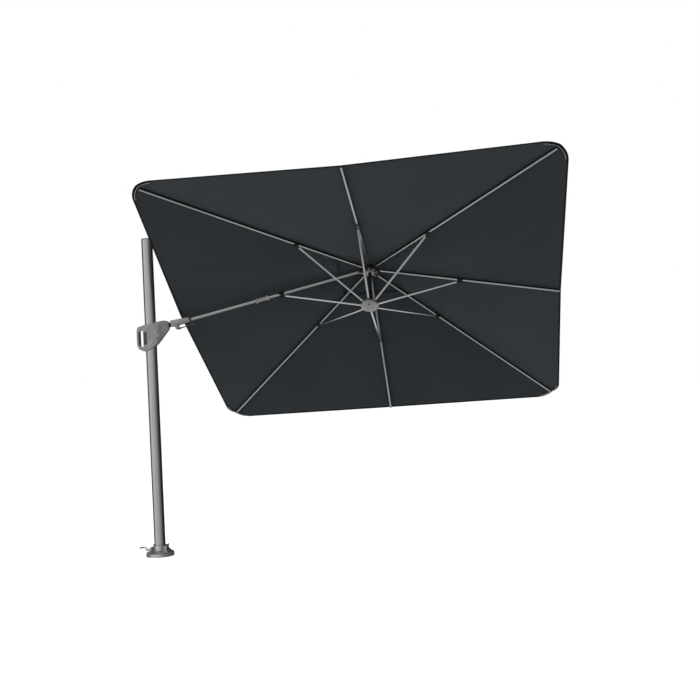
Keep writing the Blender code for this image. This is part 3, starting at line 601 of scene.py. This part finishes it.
VENT_STEM = 0.0255              # the vent's round hole, on the knob's stem
VENT_REACH = 0.205              # the vent's rim, as a share of the way to the canopy's rim
VENT_LIFT = 0.010               # its rim above the main cloth
VENT_PEAK = 0.028
VENT_SAG = 0.002
OPENING = 0.165                 # main canopy's own opening under the vent
CLOTH_SLOPE = radians(14.0)     # between the cloth and the canopy's own plane
BINDING = 0.013                 # hem binding, from the edge inwards
CORNER_BINDING = 0.030
CORNER_PATCH = 0.16             # how far from a corner the binding is wider
VENT_BINDING = 0.010
HEM_THICKNESS = 0.0008
LAP_THICKNESS = 0.0003
CLOTH_RINGS = 56                # steps of the main cloth from the opening to the rim
SEAM_LAP = 0.012                # half the lap between two sectors, as a share of a half sector
SEAM_HALF = 0.0075              # half width of the felled seam over each rib
SEAM_LIFT = 0.0011
SEAM_THICKNESS = 0.0006
SEAM_END = 0.995                # where the seam stops, as a share of the way to the rim


def binding_width(azimuth, across):
    """The binding widens into a patch round each corner."""
    edge = rim_point(sector_angle(azimuth, across))
    nearest = min(hypot(edge.x - c.x, edge.y - c.y) for c in map(corner_point, CORNERS))
    return BINDING + (CORNER_BINDING - BINDING) * smooth_step(1.4 - nearest / CORNER_PATCH)


def vent_binding_width(azimuth, across):
    return VENT_BINDING


def sector_angle(azimuth, across):
    base = radians(azimuth)
    return base + (boundary(azimuth, 1 if across > 0 else -1) - base) * abs(across)


def binding(azimuth, place_of, width_of, columns):
    """Tape folded round the cloth's edge: its profile runs under, round and over the cloth."""
    profile = [(-1.0, -0.0013), (-0.12, -0.0015), (0.10, -0.0012), (0.16, 0.0),
               (0.10, 0.0012), (-0.12, 0.0015), (-1.0, 0.0013)]
    steps = len(profile) - 1
    bm = bmesh.new()
    bmesh.ops.create_grid(bm, x_segments=steps, y_segments=columns, size=1.0)
    half = (place_of(azimuth, 1.0, 1.0) - place_of(azimuth, -1.0, 1.0)).length / 2
    spots = {}
    for vert in bm.verts:
        inward, height = profile[round((vert.co.x + 1) / 2 * steps)]
        width = width_of(azimuth, vert.co.y)
        spots[vert] = (vert.co.y * half, (inward + 1) * width)
        edge = place_of(azimuth, vert.co.y, 1.0)
        flat = Vector((edge.x, edge.y, 0)).length
        out = inward * (width if inward < 0 else BINDING)
        share = 1 + out / flat
        drop = out * (SHEET_LIFT - edge.z) / flat
        vert.co = Vector((edge.x * share, edge.y * share, edge.z - drop + height))
    cloth_map(bm, azimuth)
    uv = bm.loops.layers.uv["cloth"]
    for face in bm.faces:
        for loop in face.loops:
            loop[uv].uv = spots[loop.vert]
    return bm


def canopy_sector(azimuth):
    """Main cloth and vent of a sector, each with its hem, and with laps to its neighbours."""
    side = SECTORS[azimuth]
    body = "arm" if side == "inner" else "rib_" + side
    under = "arm_tube" if side == "inner" else "rib_" + side
    for kind, cloth, place_of, width_of, rings, columns, rests in (
            ("canopy", CLOTH, main_place, binding_width, CLOTH_RINGS, 48, under),
            ("vent", VENT_CLOTH, vent_place, vent_binding_width, 18, 32, "crown_cap")):

        def piece(name, bm, material, thickness, replaces=()):
            obj = finish(name, bm, material, body, CROWN, replaces=replaces)
            return thicken(obj, thickness)

        hem = piece(f"{kind}_hem_{side}", binding(azimuth, place_of, width_of, columns * 2),
                    HEM_TAPE, HEM_THICKNESS)
        bm = panel(azimuth, (-1.0, 1.0), rings, columns, place_of)
        width, length, area = flat_size(bm)
        main = piece(f"{kind}_cloth_{side}", bm, cloth, SHEET_THICKNESS,
                     ("canopy_" + side,) if kind == "canopy" else ())
        sewn = [hem]
        if kind == "canopy":
            seam = panel(azimuth, (-1.0, 1.0), CLOTH_RINGS, 4, seam_place)
            sewn.append(piece("canopy_seam_" + side, seam, SEAM_CLOTH, SEAM_THICKNESS))
        if azimuth not in CORNERS:
            for way, word in ((-1, "first"), (1, "second")):
                spread = (way * (1 - SEAM_LAP), way * (1 + SEAM_LAP))
                lap = panel(azimuth, spread, rings, 2, place_of)
                sewn.append(piece(f"{kind}_lap_{side}_{word}", lap, cloth, LAP_THICKNESS))
        for obj in (main, *sewn):
            apply_modifiers(obj)
            folds_up(obj)


for azimuth in SECTORS:
    canopy_sector(azimuth)


# ---- ribs, struts and brackets ------------------------------------------------------------------
TUBE_WIDTH, TUBE_HEIGHT = 0.0145, 0.0100
RIB_START = 0.034               # tube of a rib, from its pivot
POCKET_SHADE_WIDTH, POCKET_SHADE_HEIGHT, POCKET_SHADE_GAP = 0.0155, 0.0092, 0.0004
STRUT_WIDTH, STRUT_HEIGHT = 0.0165, 0.0105
STRUT_START = 0.024             # tube of a strut, from its pivots
BLADE_START, BLADE_LENGTH = -0.0055, 0.046      # black end fittings, from the pivot
RIVET_RADIUS, RIVET_PROUD = 0.0036, 0.0009
RIB_BOTTOM = 0.007              # underside of a rib above its pivots' line


def rib(side):
    matrix = rib_frame(side)
    body = "rib_" + side
    reach = max(p.x for p in local_points("rib_" + side, matrix))
    low = RIB_BOTTOM + TUBE_HEIGHT / 2
    bm = rounded_bar(reach - RIB_START, TUBE_WIDTH, TUBE_HEIGHT, 0.003, start=RIB_START)
    finish("rib_tube_" + side, bm, TUBE, body,
           matrix @ Matrix.Translation((0, 0, low)), replaces=("rib_" + side,))
    # The black pocket over each rib is partly painted shade: it also stands for the contact shadow line between
    # rib and cloth.
    pocket_shade = rounded_bar(reach - 0.060, POCKET_SHADE_WIDTH, POCKET_SHADE_HEIGHT, 0.002, start=0.045)
    height = RIB_BOTTOM + TUBE_HEIGHT + POCKET_SHADE_HEIGHT / 2 + POCKET_SHADE_GAP
    finish("rib_pocket_shade_" + side, pocket_shade, POCKET_SHADE_TAPE, body,
           matrix @ Matrix.Translation((0, 0, height)))
    end = rounded_bar(BLADE_LENGTH, 0.0050, 0.0110, 0.0018, start=BLADE_START)
    tilt = Matrix.Rotation(-atan2(low, 0.038), 4, "Y")
    finish("rib_end_" + side, end, PLASTIC, body, matrix @ tilt)
    half = max(abs(p.y) for p in local_points("rib_bracket_" + side, matrix)) + RIVET_PROUD
    link_at = (place("strut_fold_" + side) - matrix.translation).length
    rivet = round_rod((link_at, -half, 0), (link_at, half, 0), RIVET_RADIUS)
    finish("bracket_rivet_" + side, rivet, PIN_STEEL, body, matrix)


def strut(side):
    matrix, length = strut_frame(side)
    body = "strut_" + side
    bm = rounded_bar(length - 2 * STRUT_START, STRUT_WIDTH, STRUT_HEIGHT, 0.0045,
                     start=STRUT_START, segments=5)
    # The struts get the lighter coat, which is a painted highlight.
    finish("strut_tube_" + side, bm, STRUT_COAT_PAINTED_LIGHT, body, matrix,
           replaces=("strut_" + side,))
    for where, start in (("outer", BLADE_START), ("inner", length - BLADE_LENGTH - BLADE_START)):
        end = rounded_bar(BLADE_LENGTH, 0.0048, 0.0100, 0.0020, start=start)
        finish(f"strut_end_{where}_{side}", end, PLASTIC, body, matrix)


for side in SECTORS.values():
    if side != "inner":
        rib(side)
    strut(side)

# ---- mast ---------------------------------------------------------------------------------------
GROOVE_DEPTH = 0.0024
GROOVE_HALF = 0.0105
GROOVE_EASE = 0.0016            # slope at each side of the slot
MAST_HALF = Vector((0.044, 0.036, 0))
MAST_POWER = 2.45               # 2 would be an ellipse
MAST_SKIN = 0.0004


def mast_outline(angle):
    """Oval extrusion with a slot down each narrow side."""
    c, s = cos(angle), sin(angle)
    x = MAST_HALF.x * abs(c) ** (2 / MAST_POWER) * (1 if c >= 0 else -1)
    y = MAST_HALF.y * abs(s) ** (2 / MAST_POWER) * (1 if s >= 0 else -1)
    if abs(y) < GROOVE_HALF:
        depth = GROOVE_DEPTH * min(1.0, (GROOVE_HALF - abs(y)) / GROOVE_EASE)
        x -= depth * (1 if x > 0 else -1)
    return x, y


def mast():
    low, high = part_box("mast")
    bm = bmesh.new()
    bmesh.ops.create_circle(bm, cap_ends=False, segments=288, radius=1.0)
    for vert in bm.verts:
        x, y = mast_outline(atan2(vert.co.y, vert.co.x))
        vert.co = (x, y, low.z)
    up = bmesh.ops.extrude_edge_only(bm, edges=bm.edges[:])["geom"]
    bmesh.ops.translate(bm, verts=[v for v in up if isinstance(v, bmesh.types.BMVert)],
                        vec=(0, 0, high.z - low.z))
    bmesh.ops.recalc_face_normals(bm, faces=bm.faces)
    obj = finish("mast_extrusion", bm, MAST_METAL, "mast", smooth=30,
                 replaces=("mast",))
    apply_modifiers(thicken(obj, MAST_SKIN, -1.0))


mast()

# ---- castings, mouldings and pins ---------------------------------------------------------------
SOFTENED = {
    "handle_casting": ("handle_body", CAST, 0.0022),
    "arm_head": ("arm_head_body", CAST, 0.0020),
    "tilt_lever": ("arm_lever", CAST_DARK, 0.0012),
    "foot_pedal": ("pedal_lever", BASE_METAL, 0.0012),
    "release_bar": ("release_button", CAST_DARK, 0.0010),
    "base_flange": ("foot_flange", BASE_METAL, 0.0012),
    "mast_cap": ("mast_end_cap", CAST, 0.0012),
    "crown_hub": ("hub_body", PLASTIC, 0.0006),
    "runner": ("runner_body", CAST_LIGHT, 0.0008),
}
for node, (name, material, width) in SOFTENED.items():
    softened(node, name, material, body_of(node), width)

CARRIED = {
    "arm_tube": TUBE, "centre_pole": PLASTIC, "crown_cap": PLASTIC, "strut_lug": PLASTIC,
    "lower_bush": PLASTIC, "upper_bush": PLASTIC,
    "slider_liner_lower": PLASTIC, "slider_liner_upper": PLASTIC, "lift_pin": CAST,
    "lever_pin": PIN_STEEL, "pedal_pin": PIN_STEEL, "pivot_spigot": PIN_STEEL,
}
CARRIED.update({node: PLASTIC for node in NODES if node.startswith("rib_bracket")})
for node, material in CARRIED.items():
    NODES[node].data.materials.clear()
    NODES[node].data.materials.append(material)

# ---- crown star and runner cap ------------------------------------------------------------------
PIVOT_RADIUS = 0.045
CHEEK_OFFSET = 0.0056           # middle of a cheek from the middle of its rib blade
STAR_PIN_HALF, STAR_PIN_RADIUS = 0.0092, 0.0030
FLUTES, FLUTE_STEPS = 28, 8
FLUTE_DEPTH = 0.0030


def crown_star():
    """Light casting under the hub: two cheeks for every rib, joined by a ring, with rib pins."""
    low = min(p.z for p in local_points("crown_hub", CROWN))
    for azimuth, side in SECTORS.items():
        turn = CROWN @ Matrix.Rotation(radians(azimuth), 4, "Z")
        for way, word in ((-1, "left"), (1, "right")):
            bm = rounded_bar(0.036, 0.0032, 0.0150, 0.0014, start=0.024)
            at = turn @ Matrix.Translation((0, way * CHEEK_OFFSET, low + 0.0062))
            finish(f"star_cheek_{side}_{word}", bm, CAST_LIGHT, "hub", at)
        pin = round_rod((PIVOT_RADIUS, -STAR_PIN_HALF, -PIVOT_DROP),
                        (PIVOT_RADIUS, STAR_PIN_HALF, -PIVOT_DROP), STAR_PIN_RADIUS)
        finish("star_pin_" + side, pin, PIN_STEEL, "hub", turn)
    ring = turned([(0.0158, low - 0.0030), (0.0290, low - 0.0030), (0.0305, low - 0.0015),
                   (0.0305, low + 0.0100), (0.0158, low + 0.0100), (0.0158, low - 0.0030)])
    finish("star_ring", ring, CAST_LIGHT, "hub", CROWN)


def runner_dome():
    """Domed cap under the runner, with radial flutes, a dark disc that is painted shade for a small hole, and a
    thin trim ring.
    """
    points = local_points("runner_cap", CROWN)
    top, low = max(p.z for p in points), min(p.z for p in points)
    radius = max(hypot(p.x, p.y) for p in points)
    count = FLUTES * FLUTE_STEPS
    arc = [(radius * cos(a), (top - 0.0015) + (low - top + 0.0030) * sin(a) ** 0.9)
           for a in (radians(90 * i / 12) for i in range(13))]
    arc[-1] = (0.0, low + 0.0015)
    bm = turned([(0.0, top), (radius - 0.001, top), *arc], count)
    for vert in bm.verts:
        out = hypot(vert.co.x, vert.co.y)
        share = (atan2(vert.co.y, vert.co.x) % (2 * pi)) / (2 * pi)
        on_flute = round(share * count) % FLUTE_STEPS == 0
        if on_flute and 0.012 < out < radius - 0.003 and vert.co.z < top - 0.001:
            vert.co.z += FLUTE_DEPTH
    finish("runner_dome", bm, CAST_LIGHT, "runner", CROWN, smooth=40,
           replaces=("runner_cap",))
    # Painted shade: the dark disc stands for the shade inside a small hole in the cap.
    spot = Matrix.Rotation(radians(268), 4, "Z") @ Matrix.Translation((0.034, 0, 0))
    depth = low + 0.0022
    hole_shade = turned([(0.0, depth - 0.0016), (0.0062, depth - 0.0012), (0.0072, depth),
                     (0.0072, depth + 0.006), (0.0, depth + 0.006)], 32)
    finish("runner_hole_shade", hole_shade, RUBBER, "runner", CROWN @ spot)
    rim = turned([(radius - 0.0010, top + 0.0004), (radius + 0.0006, top + 0.0010),
                  (radius + 0.0006, top + 0.0030), (radius - 0.0010, top + 0.0036)], 96)
    thicken(finish("runner_trim", rim, CAST_LIGHT, "runner", CROWN), 0.0006)


crown_star()
runner_dome()


# ---- arm grip and wiper -------------------------------------------------------------------------
SPOOL_BORE = 0.0138
WIPER_LENGTH = 0.010


def arm_spool():
    """Spool grip on the arm: flared ends, waisted middle with shallow rings."""
    back = ARM.inverted()
    xs = [(back @ v.co).x for v in NODES["arm_grip"].data.vertices]
    low, high = min(xs), max(xs)
    length, middle = high - low, (low + high) / 2
    waist, groove = 0.0183, 0.0174
    profile = [(SPOOL_BORE, -0.5), (0.0215, -0.5), (0.0240, -0.485), (0.0245, -0.45),
               (0.0225, -0.40), (0.0195, -0.35), (waist, -0.28)]
    for i in range(9):
        at = -0.24 + 0.06 * i
        profile += [(waist, at - 0.018), (groove, at - 0.010), (groove, at + 0.010),
                    (waist, at + 0.018)]
    profile += [(r, -z) for r, z in profile[6::-1]]
    bm = turned([(r, z * length) for r, z in profile] + [(SPOOL_BORE, -0.5 * length)], 64)
    turn = ARM @ Matrix.Translation((middle, 0, 0)) @ Matrix.Rotation(pi / 2, 4, "Y")
    finish("arm_spool", bm, CAST_LIGHT, "arm", turn, smooth=40,
           replaces=("arm_grip",))


def arm_wiper():
    """Black ring where the arm leaves its head."""
    back = ARM.inverted()
    start = max((back @ v.co).x for v in NODES["arm_head"].data.vertices)
    ring = turned([(0.0139, 0.0), (0.0165, 0.0), (0.0160, WIPER_LENGTH * 0.6),
                   (0.0148, WIPER_LENGTH), (0.0139, WIPER_LENGTH), (0.0139, 0.0)], 48)
    turn = ARM @ Matrix.Translation((start + 0.0004, 0, 0)) @ Matrix.Rotation(pi / 2, 4, "Y")
    finish("arm_wiper", ring, RUBBER, "arm", turn)


arm_spool()
arm_wiper()


# ---- handle details -----------------------------------------------------------------------------
HINGE = place("arm_lift")
FACE = 0.050                    # half depth of the casting at the mast
LOOP_HALF = 0.017
HANDLE_RIB_RADIUS = 0.0062


def handle_rib(side, word):
    """Raised rib that follows the casting's lower edge; its lighter cast colour is a painted highlight."""
    start = Vector((0.004, side * FACE, HINGE.z - 0.146))
    bend = Vector((0.056, side * FACE, HINGE.z - 0.0835))
    end = Vector((0.083, side * (FACE - 0.0064), HINGE.z - 0.051))
    for part, (a, b) in enumerate(((start, bend), (bend, end))):
        bm = round_rod(a, b, HANDLE_RIB_RADIUS, 24, 0.0030)
        # The rib's lighter colour is a painted highlight on the casting's own coat.
        finish(f"handle_rib_{word}_{part}", bm, CAST_LIGHT, "handle")


def grip_pad():
    """Black soft pad along the inner half of the grip loop's outer bar."""
    low, high = map(Vector, frame["record"]["physics"]["openings"][0]["box_m"])
    size = Vector((0.0135, 2 * LOOP_HALF + 0.003, (high.z - low.z) * 1.02))
    middle = Vector((low.x - 0.0016 - size.x / 2, 0, (high.z + low.z) / 2))
    bm = bmesh.new()
    bmesh.ops.create_cube(bm, size=1.0,
                          matrix=Matrix.Translation(middle) @ Matrix.Diagonal((*size, 1)))
    round_edges(bm, bm.edges[:], 0.0042, 4)
    finish("grip_pad", bm, RUBBER, "handle")


def neck_sleeve_and_shade():
    """Black sleeve on the arm head's tongue, between the handle's cheeks; its black is partly the neck's own
    colour and partly painted shade for the gap between handle and head.
    """
    sleeve = rounded_bar(0.0235, 0.0252, 0.0374, 0.0030, start=0.0302)
    finish("neck_sleeve_and_shade", sleeve, RUBBER, "arm_head", HEAD)


neck_sleeve_and_shade()
for side, word in ((-1, "front"), (1, "back")):
    handle_rib(side, word)
grip_pad()


# ---- corner bows --------------------------------------------------------------------------------
BOW_RADIUS = 0.0026
BOW_INSET = 0.017               # from the rim
BOW_DROP = 0.0085               # below the cloth
BOW_SWEEP = 82                  # degrees


def corner_bow(azimuth):
    """Light spring bow that holds the rounded corner out, under the cloth."""
    side = SECTORS[azimuth]
    tip = corner_point(azimuth)
    centre = Vector((tip.x, tip.y, 0)) * (1 - CORNER_RADIUS / CANOPY_HALF)
    bm = bmesh.new()
    ring = bmesh.ops.create_circle(bm, cap_ends=True, segments=16, radius=BOW_RADIUS)["verts"]
    out = Matrix.Translation((CORNER_RADIUS - BOW_INSET, 0, 0))
    bmesh.ops.transform(bm, matrix=out @ Matrix.Rotation(pi / 2, 4, "X"), verts=ring)
    start = Matrix.Rotation(radians(azimuth - BOW_SWEEP / 2), 3, "Z")
    bmesh.ops.rotate(bm, cent=(0, 0, 0), matrix=start, verts=ring)
    bmesh.ops.spin(bm, geom=bm.verts[:] + bm.edges[:] + bm.faces[:], axis=(0, 0, 1),
                   cent=(0, 0, 0), angle=radians(BOW_SWEEP), steps=40)
    bmesh.ops.translate(bm, vec=centre, verts=bm.verts)
    for vert in bm.verts:
        spot = rim_point(atan2(vert.co.y, vert.co.x))
        flat = Vector((spot.x, spot.y, 0)).length
        vert.co.z += SHEET_LIFT - BOW_DROP + spot.z * hypot(vert.co.x, vert.co.y) / flat
    bmesh.ops.recalc_face_normals(bm, faces=bm.faces)
    bow = finish("bow_" + side, bm, TUBE, "rib_" + side, CROWN,
                 replaces=("corner_bow_" + side,))
    folds_up(bow)


for azimuth in CORNERS:
    corner_bow(azimuth)

# ---- floor, light and camera --------------------------------------------------------------------
CAMERA_PLACE = Vector((1.4446, -7.8767, 1.3441))
CAMERA_YAW, CAMERA_PITCH, CAMERA_ROLL = -0.0195, 0.0288, -0.0495
CAMERA_LENS = 50.09


def camera():
    yaw, pitch, roll = CAMERA_YAW, CAMERA_PITCH, CAMERA_ROLL
    forward = Vector((-sin(yaw) * cos(pitch), cos(yaw) * cos(pitch), sin(pitch)))
    right = Vector((cos(yaw), sin(yaw), 0))
    up = right.cross(forward)
    tilted = cos(roll) * right + sin(roll) * up
    above = -sin(roll) * right + cos(roll) * up
    data = bpy.data.cameras.new("camera")
    data.lens = CAMERA_LENS
    data.sensor_width = 36.0
    obj = bpy.data.objects.new("camera", data)
    bpy.context.scene.collection.objects.link(obj)
    facing = Matrix((tilted, above, -forward)).transposed().to_4x4()
    obj.matrix_world = Matrix.Translation(CAMERA_PLACE) @ facing
    bpy.context.scene.camera = obj


def floor():
    """Pale floor that shows white, lights the parasol softly and stays out of reflections."""
    bm = bmesh.new()
    bmesh.ops.create_grid(bm, x_segments=4, y_segments=4, size=FLOOR_HALF)
    mesh = bpy.data.meshes.new("floor")
    bm.to_mesh(mesh)
    bm.free()
    obj = bpy.data.objects.new("floor", mesh)
    bpy.context.scene.collection.objects.link(obj)
    mat, tree, shader = new_material("pale_floor", 0.9, specular=0.0)
    shader.inputs["Base Color"].default_value = (FLOOR_TONE, FLOOR_TONE, FLOOR_TONE, 1)
    path = add(tree, "ShaderNodeLightPath")
    strength = map_range(tree, path.outputs["Is Camera Ray"], (0.0, 1.0),
                         (FLOOR_BOUNCE, FLOOR_GLOW))
    glow = add(tree, "ShaderNodeEmission")
    link(tree, strength, "Result", glow, "Strength")
    total = add(tree, "ShaderNodeAddShader")
    tree.links.new(shader.outputs["BSDF"], total.inputs[0])
    tree.links.new(glow.outputs["Emission"], total.inputs[1])
    link(tree, total, "Shader", tree.nodes["Material Output"], "Surface")
    mesh.materials.append(mat)
    obj.visible_glossy = False


def area_light(name, place_at, target, power):
    data = bpy.data.lights.new(name, "AREA")
    data.shape = "RECTANGLE"
    data.size, data.size_y = LIGHT_SIZE
    data.energy = power
    obj = bpy.data.objects.new(name, data)
    bpy.context.scene.collection.objects.link(obj)
    way = Vector(target) - Vector(place_at)
    facing = way.to_track_quat("-Z", "Y").to_matrix().to_4x4()
    obj.matrix_world = Matrix.Translation(place_at) @ facing
    obj.visible_glossy = False


FLOOR_HALF = 60.0
FLOOR_TONE = 0.62
FLOOR_GLOW = 0.95               # as seen
FLOOR_BOUNCE = 0.46             # as light on the parasol
BRIGHT_WAY = Vector((-0.80, -0.58, 0.15)).normalized()     # the studio is brightest this way
STUDIO_TONES = ((0.0, 0.03), (0.47, 0.14), (0.69, 0.38), (0.86, 0.62), (1.0, 0.88))
FRONT_EDGE = (0.05, -0.58)      # from dark to full, along Y
BEHIND = 0.05                   # share of the light that comes from behind
BELOW_EDGE = (-0.25, -0.60)     # from the studio's tones to the tones below, along Z
BELOW_SPAN, BELOW_TONES = (-0.45, 0.75), (0.24, 0.66)       # along Y
LIGHT_SIZE = (4.0, 4.0)
LIGHTS = {                      # place, target, watts
    "key": ((-4.5, -5.0, 3.5), (1.2, 0.0, 1.4), 90),
    "top": ((0.5, 0.5, 6.0), (1.0, 0.0, 1.0), 110),
    "back": ((2.0, 7.0, 4.0), (1.2, 0.0, 1.6), 90),
}


def studio():
    """White to the eye; in reflections bright at the front left, dark behind, grey below."""
    world = bpy.data.worlds.new("studio")
    world.use_nodes = True
    tree = world.node_tree
    seen = tree.nodes["Background"]
    seen.inputs["Color"].default_value = (1, 1, 1, 1)
    around = add(tree, "ShaderNodeBackground")
    around.inputs["Color"].default_value = (1, 1, 1, 1)
    coordinates = add(tree, "ShaderNodeTexCoord")
    dot = add(tree, "ShaderNodeVectorMath", operation="DOT_PRODUCT")
    dot.inputs[1].default_value = BRIGHT_WAY
    tree.links.new(coordinates.outputs["Generated"], dot.inputs[0])
    span = map_range(tree, dot.outputs["Value"], (-1.0, 1.0))
    tones = ramp(tree, span, "Result", (0, 0, 0), (1, 1, 1), (0.0, 1.0))
    stops = tones.color_ramp.elements
    for place_on, tone in STUDIO_TONES:
        if place_on in (0.0, 1.0):
            stop = stops[0 if place_on == 0.0 else -1]
        else:
            stop = stops.new(place_on)
        stop.color = (tone, tone, tone, 1)
    split = add(tree, "ShaderNodeSeparateXYZ")
    link(tree, coordinates, "Generated", split, "Vector")
    front = map_range(tree, split.outputs["Y"], FRONT_EDGE, (BEHIND, 1.0))
    level = add(tree, "ShaderNodeMath", operation="MULTIPLY")
    tree.links.new(tones.outputs["Color"], level.inputs[0])
    tree.links.new(front.outputs["Result"], level.inputs[1])
    below = map_range(tree, split.outputs["Y"], BELOW_SPAN, BELOW_TONES)
    depth = map_range(tree, split.outputs["Z"], BELOW_EDGE)
    blend = add(tree, "ShaderNodeMix", data_type="FLOAT")
    link(tree, depth, "Result", blend, "Factor")
    link(tree, level, "Value", blend, "A")
    link(tree, below, "Result", blend, "B")
    link(tree, blend, "Result", around, "Strength")
    path = add(tree, "ShaderNodeLightPath")
    mix = add(tree, "ShaderNodeMixShader")
    tree.links.new(path.outputs["Is Camera Ray"], mix.inputs["Fac"])
    tree.links.new(around.outputs["Background"], mix.inputs[1])
    tree.links.new(seen.outputs["Background"], mix.inputs[2])
    link(tree, mix, "Shader", tree.nodes["World Output"], "Surface")
    bpy.context.scene.world = world
    bpy.context.scene.view_settings.view_transform = "Standard"
    for name, (place_at, target, power) in LIGHTS.items():
        area_light(name, place_at, target, power)


camera()
floor()
studio()
